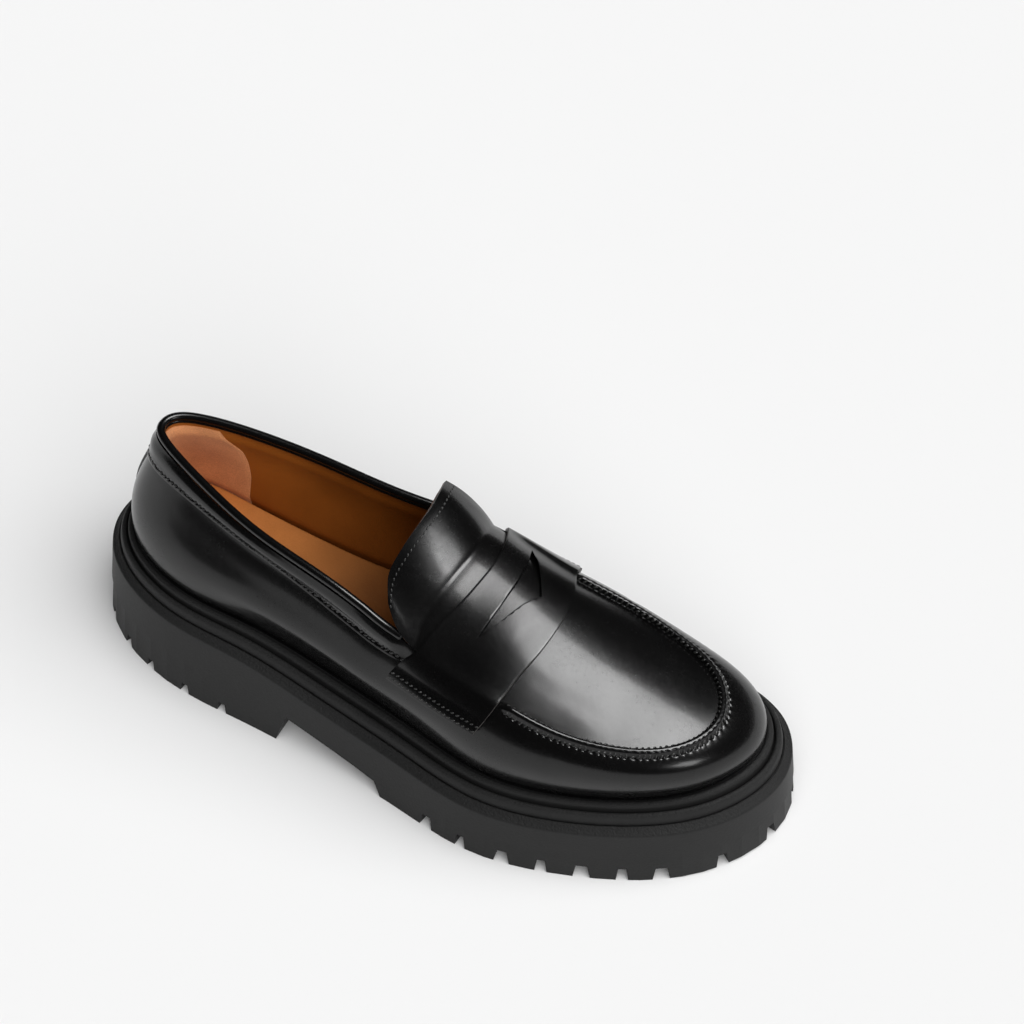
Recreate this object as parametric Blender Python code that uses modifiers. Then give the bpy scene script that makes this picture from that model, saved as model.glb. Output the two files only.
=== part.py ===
"""Chunky lug sole loafer, right shoe, standing empty on its sole.

Shoe frame while building, in millimetres: x runs from the heel to the toe, y to the medial side,
z up from the floor. The whole shoe is then placed so that the middle of its footprint is the origin.

Stations run round the shoe: 0 is the middle of the heel, whole numbers are the rows of SECTIONS,
first along the lateral side to the toe at 10, then back along the medial side.
"""
import math

import bmesh
import bpy
import numpy as np
from mathutils import Matrix, Vector

MM = 0.001

# Driving sizes, in millimetres
WALL = 2.0
SEAT_GAP = 0.3
PLATFORM_RISE = 9.0
GROUND_FLARE_HEEL = 2.4
GROUND_FLARE_TOE = 1.6
TOE_SPRING = 1.0
SPRING_START = 250.0
SHOE_LENGTH = 285.5
BREAST_FOOT = 95.0
BREAST_TOP = 99.5
BREAST_HEIGHT = 15.0
WAIST_END = 141.0
FORE_START = 144.5
FORE_GROOVE_DEPTH = 6.2
HEEL_GROOVE_DEPTH = 4.5
SEAM_RIDGE = 1.7
SEAM_FLAT = 0.8
SEAM_FOOT = 2.0
BINDING_RADIUS = 1.7
BINDING_INSET = 0.8
BINDING_LIFT = 0.5
BINDING_SEAT = 3.0
STRAP_THICKNESS = 1.5
STRAP_GAP = 0.5
TRIM_THICKNESS = 0.9
INSOLE_THICKNESS = 2.6
INSOLE_INSET = 2.8
TONGUE_SWELL = 2.2
FIELD_DEEPER = 0.3
WAIST_DEEPER = 0.5
LUG_ROOT = 1.0
UNDER_FLOOR = 1.0
BESIDE_SOLE = 5.0
HALF_WIDTH = 80.0
SLOT_LOW = 60.0
SLOT_HIGH = 110.0
SAME_POINT = 0.02
SMOOTH_ANGLE = 35.0

# One row for each section round the shoe. edge is the rim of the ledge, inset runs from it to the
# foot of the upper, top is the topline and then the apron seam, and the last four lean the wall.
SECTION_COLUMNS = ("edge_x", "edge_y", "ledge_z", "inset", "top_x", "top_y", "top_z",
                   "low_out", "low_up", "high_out", "high_drop")
SECTIONS = {
    "heel middle":        (2.5, 6.0, 36.0, 9.5, 21.0, 5.0, 95.5, 6.0, 17.0, 4.5, 17.0),
    "heel back lateral":  (13.5, -21.5, 36.0, 9.0, 27.0, -3.0, 95.1, 5.0, 16.0, 5.0, 16.0),
    "heel lateral":       (44.5, -37.5, 35.8, 9.0, 50.0, -13.2, 92.6, 4.0, 16.0, 8.0, 14.0),
    "heel front lateral": (79.0, -41.5, 35.0, 10.0, 80.0, -22.6, 89.3, 3.0, 14.0, 6.0, 14.0),
    "waist lateral":      (114.0, -45.0, 29.0, 11.0, 115.0, -27.9, 83.9, 3.0, 13.0, 5.0, 14.0),
    "throat lateral":     (149.0, -50.2, 25.0, 11.0, 149.5, -32.2, 73.0, 4.0, 12.0, 8.0, 9.0),
    "ball lateral":       (184.0, -56.4, 24.2, 10.5, 184.0, -37.5, 69.0, 5.0, 12.0, 9.0, 6.0),
    "fore lateral":       (217.5, -51.6, 24.2, 10.0, 213.0, -37.0, 62.8, 5.0, 11.0, 9.0, 4.0),
    "toe side lateral":   (249.1, -39.2, 25.4, 10.0, 240.0, -28.5, 58.8, 5.0, 10.5, 9.0, 3.5),
    "toe lateral":        (273.6, -19.4, 26.0, 10.8, 257.0, -13.5, 57.2, 5.0, 10.0, 9.0, 3.0),
    "toe middle":         (284.7, 10.0, 26.0, 11.3, 260.5, 5.0, 57.0, 5.0, 10.0, 9.0, 3.0),
    "toe medial":         (272.2, 35.8, 25.4, 10.3, 250.0, 20.5, 57.5, 4.5, 10.0, 8.0, 3.0),
    "toe side medial":    (245.6, 45.7, 24.6, 9.7, 232.0, 28.0, 59.2, 4.0, 11.0, 7.0, 3.5),
    "fore medial":        (216.0, 49.2, 24.3, 9.5, 207.0, 31.0, 63.7, 4.0, 11.0, 7.5, 4.0),
    "ball medial":        (184.0, 51.0, 24.8, 9.7, 180.0, 30.0, 70.8, 4.0, 12.0, 9.0, 6.0),
    "throat medial":      (150.0, 44.5, 26.0, 10.0, 150.0, 32.0, 76.6, 3.0, 13.0, 7.0, 10.0),
    "waist medial":       (118.0, 34.0, 29.0, 10.0, 116.0, 26.5, 82.8, 4.0, 14.0, 5.0, 14.0),
    "heel front medial":  (84.0, 30.0, 34.5, 9.5, 82.0, 24.6, 86.8, 4.0, 14.0, 5.0, 14.0),
    "heel medial":        (50.0, 32.0, 35.8, 9.0, 50.0, 20.8, 91.1, 4.0, 16.0, 6.0, 14.0),
    "heel back medial":   (18.5, 30.5, 36.0, 9.0, 27.0, 13.7, 94.7, 5.0, 16.0, 5.0, 16.0),
}
SECTION_COUNT = len(SECTIONS)
STEPS = 4

# Where pieces begin, end and fade, in stations from the heel
THROAT = 5.0
TONGUE_END = 4.0
TOE_CORNER = 8.5
BINDING_END = 4.6
COLLAR_END = 4.86
COLLAR_FADE = 0.6
SEAM_FADE = 0.5
RIDGE_START = 6.2
RIDGE_FADE = 0.3
STRIP_HALF = 0.17
TANGENT_STEP = 0.02

# The collar band's lower edge as a height on the wall, at stations 0 to 5 from the heel
COLLAR_LOW = (0.74, 0.78, 0.84, 0.84, 0.77, 0.77)
STRIP_LOW = 0.03
STRIP_BELOW_BAND = 0.02

# Heights of the upper's own rings on the wall, up to the seam
WALL_HEIGHTS = (0.0, 0.1, 0.24, 0.4, 0.56, 0.72, 0.86)

# The tongue's free rear edge, from lateral to medial, as x, y and z
TONGUE_EDGE = (
    (132.0, -24.5, 82.0),
    (129.0, -15.0, 88.0),
    (131.1, -6.5, 93.0),
    (132.8, 3.0, 97.0),
    (134.1, 12.0, 99.4),
    (133.6, 20.0, 100.0),
    (131.5, 28.5, 96.5),
)

# How far the apron is domed above its edges, as station and rise, from the tongue's end to the toe
CROWN = ((4.0, 0.0), (5.0, 6.0), (6.0, 3.6), (7.0, 2.6), (8.0, 1.8), (8.5, 0.0))
CROWN_POWER = 2.2

# The ribbed welt's side, from its lower edge to the foot of the upper, as out and rise:
# part of the inset measured from the upper, and height above the ledge's rim
RIBS = (
    (0.66, 1.8),
    (0.67, 4.6),
    (0.61, 6.6),
    (0.52, 7.4),
    (0.42, 7.0),
    (0.375, 6.2),
    (0.35, 7.0),
    (0.34, 8.4),
    (0.30, 9.6),
    (0.23, 10.2),
    (0.15, 10.2),
    (0.09, 9.7),
    (0.06, PLATFORM_RISE),
)
# The ledge outside the ribs and the flat top under the welt, as out and rise
LEDGE = (
    (1.0, -0.7),
    (0.95, 0.0),
    (0.72, 2.4),
    (0.70, 1.5),
)

# Grooves that run in from the edge of the tread, as station, length and width at the ground
FORE_GROOVES = (
    (5.50, 22.0, 6.0),
    (5.95, 23.0, 4.6),
    (6.45, 24.0, 6.6),
    (6.90, 24.0, 5.0),
    (7.35, 23.0, 7.0),
    (7.80, 22.0, 5.0),
    (8.25, 21.0, 7.0),
    (9.00, 20.0, 5.6),
    (9.70, 20.0, 5.6),
    (10.35, 20.0, 5.6),
    (11.00, 21.0, 5.6),
    (11.60, 24.0, 5.6),
    (12.10, 27.0, 5.2),
    (12.60, 29.0, 5.2),
    (13.10, 30.0, 5.2),
    (13.60, 30.0, 5.2),
    (14.10, 30.0, 5.2),
    (14.60, 29.0, 5.2),
)
HEEL_GROOVES = (
    (-2.85, 19.0, 4.4),
    (-2.35, 19.0, 4.4),
    (-1.85, 19.0, 4.4),
    (-1.38, 18.0, 4.2),
    (-0.92, 18.0, 4.0),
    (-0.32, 18.0, 4.0),
    (0.28, 18.0, 4.0),
    (0.90, 18.0, 4.0),
    (1.35, 18.0, 4.2),
    (1.75, 18.0, 4.4),
    (2.25, 19.0, 4.4),
    (2.75, 19.0, 4.4),
)
GROOVE_DRAFT = 0.62

# The sunk middle of the tread, as station and how far in from the edge
FORE_FIELD = ((4.6, 18.0), (6.0, 21.0), (7.0, 22.0), (8.0, 20.0), (9.0, 18.0), (10.0, 17.0),
              (11.0, 19.0), (12.0, 24.0), (13.0, 28.0), (14.0, 28.0), (15.4, 26.0))
HEEL_FIELD = ((-2.9, 17.0), (-2.0, 17.0), (-1.0, 17.0), (0.0, 17.0), (1.0, 17.0), (2.0, 17.0), (2.95, 17.0))

# Outlines seen from below, as x and y: the notch in the heel's breast, the lugs of the sunk middles
BREAST_NOTCH = ((73.0, -2.5), (101.0, -10.0), (101.0, 8.0), (73.0, 2.5))
FORE_LUGS = (
    ((150.0, 14.0), (151.0, -14.0), (168.0, 4.0)),
    ((157.0, -27.0), (182.0, -29.0), (173.5, -1.0)),
    ((174.0, 17.0), (200.0, 17.0), (186.0, -16.0)),
    ((190.5, -29.0), (219.0, -27.0), (204.0, 5.0)),
    ((207.5, 17.0), (234.0, 15.0), (222.0, -16.0)),
    ((228.5, -20.0), (250.0, -6.0), (239.0, 8.0)),
)
HEEL_LUGS = (
    ((30.0, 1.0), (44.0, -13.0), (50.0, -1.0), (43.0, 14.0)),
    ((50.0, -13.0), (68.0, -12.0), (74.0, -1.0), (67.0, 11.0), (49.0, 13.0), (56.0, -1.0)),
)

# The saddle strap's two edges as back and front stations, evenly spaced across the instep from
# the lateral end, over the apron between the second and the fourth third, to the medial end
STRAP = (
    (4.82, 5.98),
    (4.87, 6.03),
    (4.93, 6.07),
    (4.99, 6.11),
    (5.07, 6.14),
    (5.20, 6.18),
    (5.23, 6.19),
    (5.23, 6.21),
    (5.18, 6.22),
    (5.14, 6.19),
    (5.09, 6.16),
    (5.05, 6.11),
    (5.00, 6.06),
)
WALL_SHARE = 1 / 3
STRAP_FOOT_LATERAL = 0.60
STRAP_FOOT_MEDIAL = 0.60
KINK = 0.0002

# The opening cut in the strap, seen from above, as x and y
SLOT = (
    (170.6, -20.5),
    (172.4, -6.0),
    (173.0, 7.0),
    (171.6, 19.0),
    (168.6, 27.5),
    (174.0, 22.0),
    (179.0, 14.5),
    (183.6, 6.6),
    (179.6, 0.0),
    (175.2, -12.0),
)

# Red, green, blue and roughness
COLOURS = {
    "rubber": (0.012, 0.012, 0.012, 0.62),
    "leather": (0.006, 0.006, 0.006, 0.16),
    "lining": (0.42, 0.17, 0.045, 0.55),
}


def closed_curve(values):
    """The bends at the rows of the closed cubic through evenly spaced values."""
    count = len(values)
    unit = np.eye(count)
    system = 4 * unit + np.roll(unit, 1, axis=0) + np.roll(unit, -1, axis=0)
    change = np.roll(values, -1) - 2 * values + np.roll(values, 1)
    return np.linalg.solve(system, 6 * change)


ROWS = np.array(list(SECTIONS.values()))
BENDS = np.array([closed_curve(column) for column in ROWS.T]).T


def section(station):
    """Every column of SECTIONS at a station, by name."""
    low = math.floor(station)
    part = station - low
    rest = 1 - part
    this, following = low % SECTION_COUNT, (low + 1) % SECTION_COUNT
    value = rest * ROWS[this] + part * ROWS[following]
    value = value + ((rest ** 3 - rest) * BENDS[this] + (part ** 3 - part) * BENDS[following]) / 6
    return dict(zip(SECTION_COLUMNS, value))


def outward(station, x="edge_x", y="edge_y"):
    """The level unit vector that points out of the loop at a station."""
    before, after = section(station - TANGENT_STEP), section(station + TANGENT_STEP)
    along = np.array([after[x] - before[x], after[y] - before[y]])
    along = along / np.linalg.norm(along)
    return np.array([along[1], -along[0], 0.0])


def side(station, out, rise):
    """A point of the sole's side: out is 0 at the upper and 1 at the rim, rise is above the rim."""
    row = section(station)
    rim = np.array([row["edge_x"], row["edge_y"], row["ledge_z"] + rise])
    return rim - outward(station) * row["inset"] * (1 - out)


def ease(value):
    """0 below 0, 1 above 1, and a smooth step between."""
    value = min(max(value, 0.0), 1.0)
    return value * value * (3 - 2 * value)


def from_heel(station):
    """How many stations away from the heel's middle, along the nearer side."""
    station = station % SECTION_COUNT
    return min(station, SECTION_COUNT - station)


def top(station):
    """The upper edge of the wall: under the binding at the collar, on the seam in front."""
    row = section(station)
    drop = BINDING_SEAT * ease((THROAT - from_heel(station)) / COLLAR_FADE)
    return np.array([row["top_x"], row["top_y"], row["top_z"] - drop])


def foot(station):
    """The lower edge of the wall, just above the welt's platform."""
    return side(station, 0.0, PLATFORM_RISE + SEAT_GAP)


def handles(station):
    """The four control points of the wall's curve at a station."""
    row = section(station)
    low, high = foot(station), top(station)
    out = outward(station)
    up = np.array([0.0, 0.0, 1.0])
    return (low, low + out * row["low_out"] + up * row["low_up"],
            high + out * row["high_out"] - up * row["high_drop"], high)


def wall(station, height):
    """The upper's outer wall: height is 0 at its foot and 1 at its upper edge."""
    low, lower, higher, high = handles(station)
    rest = 1 - height
    return (low * rest ** 3 + 3 * lower * height * rest ** 2
            + 3 * higher * height ** 2 * rest + high * height ** 3)


def seam_fade(station):
    """1 along the apron seam, falling to 0 at the throat."""
    return ease((from_heel(station) - THROAT) / SEAM_FADE)


def near_top(station, distance):
    """The height on the wall that lies a short distance under its upper edge."""
    higher, high = handles(station)[2:]
    return 1 - distance / (3 * np.linalg.norm(high - higher))


def apron_ring(station, distance):
    """A point inside the apron seam, a short distance in from it."""
    inward = -outward(station, "top_x", "top_y")
    return top(station) + inward * distance * seam_fade(station)


def open_curve(rows, part):
    """A smooth curve through rows of points, part running from 0 to 1."""
    rows = np.array(rows, dtype=float)
    place = min(max(part, 0.0), 1.0) * (len(rows) - 1)
    low = min(int(place), len(rows) - 2)
    part = place - low
    before = rows[max(low - 1, 0)]
    first, last = rows[low], rows[low + 1]
    after = rows[min(low + 2, len(rows) - 1)]
    leave, arrive = (last - before) / 2, (after - first) / 2
    return ((2 * part ** 3 - 3 * part ** 2 + 1) * first + (part ** 3 - 2 * part ** 2 + part) * leave
            + (3 * part ** 2 - 2 * part ** 3) * last + (part ** 3 - part ** 2) * arrive)


def apron_side(station, medial):
    """The apron's long edge: free along the tongue, then inside the seam."""
    corner = TONGUE_EDGE[-1 if medial else 0]
    throat = SECTION_COUNT - THROAT if medial else THROAT
    if station >= THROAT:
        return apron_ring(SECTION_COUNT - station if medial else station, SEAM_FOOT)
    part = (station - TONGUE_END) / (THROAT - TONGUE_END)
    root = apron_ring(throat, 0.0)
    straight = (1 - part) * np.array(corner) + part * root
    swell = np.array([0.0, TONGUE_SWELL if medial else -TONGUE_SWELL, 0.0])
    return straight + swell * 4 * part * (1 - part)


def apron(station, across):
    """The domed apron and tongue: station from TONGUE_END to TOE_CORNER, across from 0 to 1."""
    along = (station - TONGUE_END) / (TOE_CORNER - TONGUE_END)
    rear = open_curve(TONGUE_EDGE, across)
    toe_span = SECTION_COUNT - 2 * TOE_CORNER
    toe = apron_ring(TOE_CORNER + toe_span * across, SEAM_FOOT)
    lateral, medial = apron_side(station, False), apron_side(station, True)
    corners = [apron_side(place, edge) for place in (TONGUE_END, TOE_CORNER) for edge in (False, True)]
    between = ((1 - along) * ((1 - across) * corners[0] + across * corners[1])
               + along * ((1 - across) * corners[2] + across * corners[3]))
    point = ((1 - across) * lateral + across * medial + (1 - along) * rear + along * toe - between)
    places, rises = np.array(CROWN).T
    dome = np.interp(station, places, rises) * (1 - abs(2 * across - 1) ** CROWN_POWER)
    return point + np.array([0.0, 0.0, dome])


def hoop(station, across):
    """A line over the instep: up the lateral wall, over the apron, down the medial wall."""
    if across < WALL_SHARE:
        climb = across / WALL_SHARE
        return wall(station, STRAP_FOOT_LATERAL + (1 - STRAP_FOOT_LATERAL) * climb)
    if across > 1 - WALL_SHARE:
        climb = (1 - across) / WALL_SHARE
        return wall(-station, STRAP_FOOT_MEDIAL + (1 - STRAP_FOOT_MEDIAL) * climb)
    return apron(station, (across - WALL_SHARE) / (1 - 2 * WALL_SHARE))


def ground(station):
    """The sole's lower edge: wider than the ledge at the heel, lifted at the toe."""
    point = side(station, 1.0, 0.0)
    part = point[0] / SHOE_LENGTH
    flare = GROUND_FLARE_HEEL + (GROUND_FLARE_TOE - GROUND_FLARE_HEEL) * part
    point = point + outward(station) * flare
    point[2] = TOE_SPRING * ease((point[0] - SPRING_START) / (SHOE_LENGTH - SPRING_START))
    return point


def stations():
    """Every station that has mesh points, once round the shoe."""
    return [step / STEPS for step in range(SECTION_COUNT * STEPS)]


def ladder(bm, ring, upward):
    """Close a ring with rungs from side to side."""
    count = len(ring)
    for step in range(count // 2):
        rung = [ring[step], ring[step + 1], ring[count - step - 1], ring[(count - step) % count]]
        corners = list(dict.fromkeys(rung))
        bm.faces.new(corners if upward else corners[::-1])


def loft(bm, rings):
    """Skin between closed rings of points, the first below and outside the last."""
    made = [[bm.verts.new(Vector(point) * MM) for point in ring] for ring in rings]
    for lower, upper in zip(made, made[1:]):
        for step in range(len(lower)):
            after = (step + 1) % len(lower)
            bm.faces.new((lower[step], lower[after], upper[after], upper[step]))
    return made


def sheet(bm, rows):
    """Skin over an open grid of points."""
    made = [[bm.verts.new(Vector(point) * MM) for point in row] for row in rows]
    for row, following in zip(made, made[1:]):
        for step in range(len(row) - 1):
            bm.faces.new((row[step], following[step], following[step + 1], row[step + 1]))
    return made


def material(name):
    """A plain material: colour, then roughness."""
    red, green, blue, roughness = COLOURS[name]
    made = bpy.data.materials.new(name)
    made.use_nodes = True
    shader = made.node_tree.nodes["Principled BSDF"]
    shader.inputs["Base Color"].default_value = (red, green, blue, 1.0)
    shader.inputs["Roughness"].default_value = roughness
    return made


def finish(bm, name, finish_name, collection):
    """Turn a bmesh into an object of the shoe."""
    mesh = bpy.data.meshes.new(name)
    bm.to_mesh(mesh)
    bm.free()
    made = bpy.data.objects.new(name, mesh)
    mesh.materials.append(MATERIALS[finish_name])
    mesh.shade_smooth()
    mesh.set_sharp_from_angle(angle=math.radians(SMOOTH_ANGLE))
    collection.objects.link(made)
    made.parent = SHOE
    return made


def guide(bm, name, collection):
    """Turn a bmesh into a cutter or a filler that is itself left out."""
    mesh = bpy.data.meshes.new(name)
    bm.to_mesh(mesh)
    bm.free()
    made = bpy.data.objects.new(name, mesh)
    made.hide_render = True
    made.display_type = "WIRE"
    collection.objects.link(made)
    made.parent = SHOE
    return made


def prism(outline, low, high):
    """A closed block over a level outline."""
    bm = bmesh.new()
    base = bm.faces.new([bm.verts.new((x * MM, y * MM, low * MM)) for x, y in outline])
    raised = bmesh.ops.extrude_face_region(bm, geom=[base])["geom"]
    lifted = [item for item in raised if isinstance(item, bmesh.types.BMVert)]
    bmesh.ops.translate(bm, verts=lifted, vec=(0, 0, (high - low) * MM))
    if bm.calc_volume(signed=True) < 0:
        bmesh.ops.reverse_faces(bm, faces=bm.faces[:])
    return bm


def crosswise(outline):
    """A closed block over an upright outline of x and z, right across the sole."""
    bm = prism(outline, -HALF_WIDTH, HALF_WIDTH)
    bmesh.ops.rotate(bm, verts=bm.verts[:], matrix=Matrix.Rotation(math.radians(90), 3, "X"))
    return bm


def groove(station, length, width, depth):
    """A drafted block that cuts one groove from outside the edge straight in."""
    bm = bmesh.new()
    bmesh.ops.create_cube(bm, size=1.0)
    start, inward = ground(station), -outward(station)
    aside = np.array([-inward[1], inward[0], 0.0])
    for point in bm.verts:
        along = length if point.co.x > 0 else -BESIDE_SOLE
        across = width * point.co.y
        height = start[2] + depth if point.co.z > 0 else -UNDER_FLOOR
        if point.co.z > 0:
            across = across * GROOVE_DRAFT
        place = start + inward * along + aside * across
        point.co = Vector((place[0], place[1], height)) * MM
    return bm


def field(rows):
    """The outline of the tread's sunk middle."""
    places, insets = np.array(rows).T
    outline = []
    for station in np.linspace(places[0], places[-1], 3 * len(rows)):
        point = ground(station) - outward(station) * np.interp(station, places, insets)
        outline.append((point[0], point[1]))
    return outline


def cut(piece, collection, operation="DIFFERENCE"):
    """Cut a piece with, or join to it, everything in a collection."""
    change = piece.modifiers.new(collection.name, "BOOLEAN")
    change.operand_type = "COLLECTION"
    change.collection = collection
    change.operation = operation
    change.solver = "EXACT"


def make_outsole():
    """Wall, ledge and flat top, before the tread is cut."""
    bm = bmesh.new()
    rings = [[ground(station) for station in stations()]]
    rings += [[side(station, out, rise) for station in stations()] for out, rise in LEDGE]
    made = loft(bm, rings)
    ladder(bm, made[0], False)
    ladder(bm, made[-1], True)
    outsole = finish(bm, "outsole", "rubber", PARTS)
    waist = ((BREAST_FOOT, -UNDER_FLOOR), (BREAST_TOP, BREAST_HEIGHT),
             (WAIST_END, FORE_GROOVE_DEPTH + WAIST_DEEPER), (FORE_START, -UNDER_FLOOR))
    guide(crosswise(waist), "waist_cutter", TREAD_CUTTERS)
    for name, grooves, depth in (("fore_groove", FORE_GROOVES, FORE_GROOVE_DEPTH),
                                 ("heel_groove", HEEL_GROOVES, HEEL_GROOVE_DEPTH)):
        for station, length, width in grooves:
            guide(groove(station, length, width, depth), name, TREAD_CUTTERS)
    fore_depth, heel_depth = FORE_GROOVE_DEPTH + FIELD_DEEPER, HEEL_GROOVE_DEPTH + FIELD_DEEPER
    for name, rows, lugs, depth in (("fore", FORE_FIELD, FORE_LUGS, fore_depth),
                                    ("heel", HEEL_FIELD, HEEL_LUGS, heel_depth)):
        guide(prism(field(rows), -UNDER_FLOOR, depth), name + "_field", TREAD_CUTTERS)
        for lug in lugs:
            guide(prism(lug, 0.0, depth + LUG_ROOT), name + "_lug", TREAD_LUGS)
    notch_depth = heel_depth + FIELD_DEEPER
    guide(prism(BREAST_NOTCH, -UNDER_FLOOR, notch_depth), "breast_notch", TREAD_CUTTERS)
    cut(outsole, TREAD_CUTTERS)
    cut(outsole, TREAD_LUGS, "UNION")
    return outsole


def make_welt():
    """The two ribs round the upper, and the platform that closes it underneath."""
    bm = bmesh.new()
    made = loft(bm, [[side(station, out, rise) for station in stations()] for out, rise in RIBS])
    ladder(bm, made[0], False)
    ladder(bm, made[-1], True)
    return finish(bm, "welt_midsole", "rubber", PARTS)


def make_insole():
    """The sock inside the upper, on the platform."""
    bm = bmesh.new()
    rings = []
    for rise in (PLATFORM_RISE + SEAT_GAP, PLATFORM_RISE + SEAT_GAP + INSOLE_THICKNESS):
        ring = [side(station, 0.0, rise) - outward(station) * INSOLE_INSET for station in stations()]
        rings.append(ring)
    made = loft(bm, rings)
    ladder(bm, made[0], False)
    ladder(bm, made[-1], True)
    return finish(bm, "insole", "lining", PARTS)


def make_upper():
    """Quarters, vamp, apron and tongue as one wall, open at the collar and underneath."""
    bm = bmesh.new()
    ridge_weight = bm.verts.layers.deform.verify()
    columns = stations()
    rings = [[wall(station, height) for station in columns] for height in WALL_HEIGHTS]
    for distance in (SEAM_FOOT, SEAM_FLAT, 0.0):
        rings.append([wall(station, near_top(station, distance)) for station in columns])
    made = loft(bm, rings)
    first, last = int(THROAT * STEPS), int((SECTION_COUNT - THROAT) * STEPS)
    seam = columns[first:last + 1]
    rows = [made[-2][first:last + 1], made[-1][first:last + 1]]
    for distance in (SEAM_FLAT, SEAM_FOOT):
        rows.append([bm.verts.new(Vector(apron_ring(station, distance)) * MM) for station in seam])
    for outer_row, inner_row in zip(rows[1:], rows[2:]):
        for step in range(len(seam) - 1):
            bm.faces.new((outer_row[step], outer_row[step + 1], inner_row[step + 1], inner_row[step]))
    for row in rows[:3]:
        for point, station in zip(row, seam):
            point[ridge_weight][0] = ease((from_heel(station) - RIDGE_START) / RIDGE_FADE)
    length = int((TOE_CORNER - TONGUE_END) * STEPS)
    width = int((SECTION_COUNT - 2 * TOE_CORNER) * STEPS)
    sheet(bm, [[apron(TONGUE_END + row / STEPS, step / width) for step in range(width + 1)]
               for row in range(length + 1)])
    bmesh.ops.remove_doubles(bm, verts=bm.verts[:], dist=SAME_POINT * MM)
    upper = finish(bm, "upper", "leather", PARTS)
    upper.vertex_groups.new(name="seam_ridge")
    shell = upper.modifiers.new("wall", "SOLIDIFY")
    shell.thickness = WALL * MM
    shell.offset = -1
    shell.use_even_offset = True
    ridge = upper.modifiers.new("seam_ridge", "DISPLACE")
    ridge.strength = SEAM_RIDGE * MM
    ridge.mid_level = 0.0
    ridge.direction = "Z"
    ridge.vertex_group = "seam_ridge"
    return upper


def overlay(name, rows, thickness, gap=SEAT_GAP):
    """A thin piece lying on the upper: a grid of the upper's own points, lifted and thickened."""
    bm = bmesh.new()
    sheet(bm, rows)
    bm.normal_update()
    for point in bm.verts:
        point.co += point.normal * gap * MM
    made = finish(bm, name, "leather", PARTS)
    shell = made.modifiers.new("thickness", "SOLIDIFY")
    shell.thickness = thickness * MM
    shell.offset = 1
    shell.use_even_offset = True
    return made


def make_collar_band():
    """The stitched band under the topline, once round the heel from throat to throat."""
    rows = []
    for station in np.linspace(-COLLAR_END, COLLAR_END, 45):
        low = open_curve(COLLAR_LOW, from_heel(station) / THROAT)
        rows.append([wall(station, low + (1 - low) * step / 4) for step in range(5)])
    return overlay("collar_band", rows, TRIM_THICKNESS)


def make_heel_strip():
    """The upright strip that covers the back seam."""
    heights = np.linspace(STRIP_LOW, COLLAR_LOW[0] - STRIP_BELOW_BAND, 8)
    rows = [[wall(station, height) for height in heights]
            for station in np.linspace(-STRIP_HALF, STRIP_HALF, 5)]
    return overlay("heel_strip", rows, TRIM_THICKNESS)


def make_strap():
    """The saddle strap over the instep, with its cut opening."""
    climb = [WALL_SHARE * step / 5 for step in range(5)] + [WALL_SHARE - KINK]
    over = [WALL_SHARE + (1 - 2 * WALL_SHARE) * step / 14 for step in range(15)]
    samples = climb + over + [1 - place for place in reversed(climb)]
    rows = []
    for step in range(7):
        row = []
        for across in samples:
            back, front = open_curve(STRAP, across)
            row.append(hoop(back + (front - back) * step / 6, across))
        rows.append(row)
    strap = overlay("saddle_strap", rows, STRAP_THICKNESS, STRAP_GAP)
    guide(prism(SLOT, SLOT_LOW, SLOT_HIGH), "slot_cutter", SLOT_CUTTERS)
    cut(strap, SLOT_CUTTERS)
    return strap


def make_binding():
    """The rolled edge of the collar."""
    curve = bpy.data.curves.new("collar_binding", "CURVE")
    curve.dimensions = "3D"
    curve.bevel_depth = BINDING_RADIUS * MM
    curve.bevel_resolution = 2
    curve.use_fill_caps = True
    line = curve.splines.new("POLY")
    columns = np.linspace(-BINDING_END, BINDING_END, 47)
    line.points.add(len(columns) - 1)
    for point, station in zip(line.points, columns):
        inward = -outward(station, "top_x", "top_y")
        lift = np.array([0.0, 0.0, BINDING_RADIUS + BINDING_LIFT])
        place = top(station) + inward * BINDING_INSET + lift
        point.co = (*(place * MM), 1.0)
    curve.materials.append(MATERIALS["leather"])
    made = bpy.data.objects.new("collar_binding", curve)
    PARTS.objects.link(made)
    made.parent = SHOE
    return made


for thing in list(bpy.data.objects):
    bpy.data.objects.remove(thing, do_unlink=True)

PARTS = bpy.data.collections.new("chunky_lug_sole_loafer")
SLOT_CUTTERS = bpy.data.collections.new("slot_cutters")
TREAD_CUTTERS = bpy.data.collections.new("tread_cutters")
TREAD_LUGS = bpy.data.collections.new("tread_lugs")
for group in (PARTS, SLOT_CUTTERS, TREAD_CUTTERS, TREAD_LUGS):
    bpy.context.scene.collection.children.link(group)

MATERIALS = {name: material(name) for name in COLOURS}

footprint = np.array([ground(station) for station in stations()])
MIDDLE = (footprint.min(axis=0) + footprint.max(axis=0)) / 2
SHOE = bpy.data.objects.new("shoe", None)
SHOE.location = (-MIDDLE[0] * MM, -MIDDLE[1] * MM, 0.0)
PARTS.objects.link(SHOE)

make_outsole()
make_welt()
make_insole()
make_upper()
make_collar_band()
make_heel_strip()
make_strap()
make_binding()
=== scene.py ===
# %% [markdown]
# # Chunky lug sole loafer
# A black polished leather loafer on a thick ribbed rubber sole, as a right shoe standing empty.
# The solid model gives the true form of every piece. This lesson dresses it: leather with a raised
# hand-sewn apron seam, a tan lining, moulded rubber, and rows of waxed stitches.
# Sizes are the shoe's own, in millimetres: x from heel to toe, y to the inner side, z up.

# %% The frame
import math

import bpy
import numpy as np
from mathutils import Matrix, Vector

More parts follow.
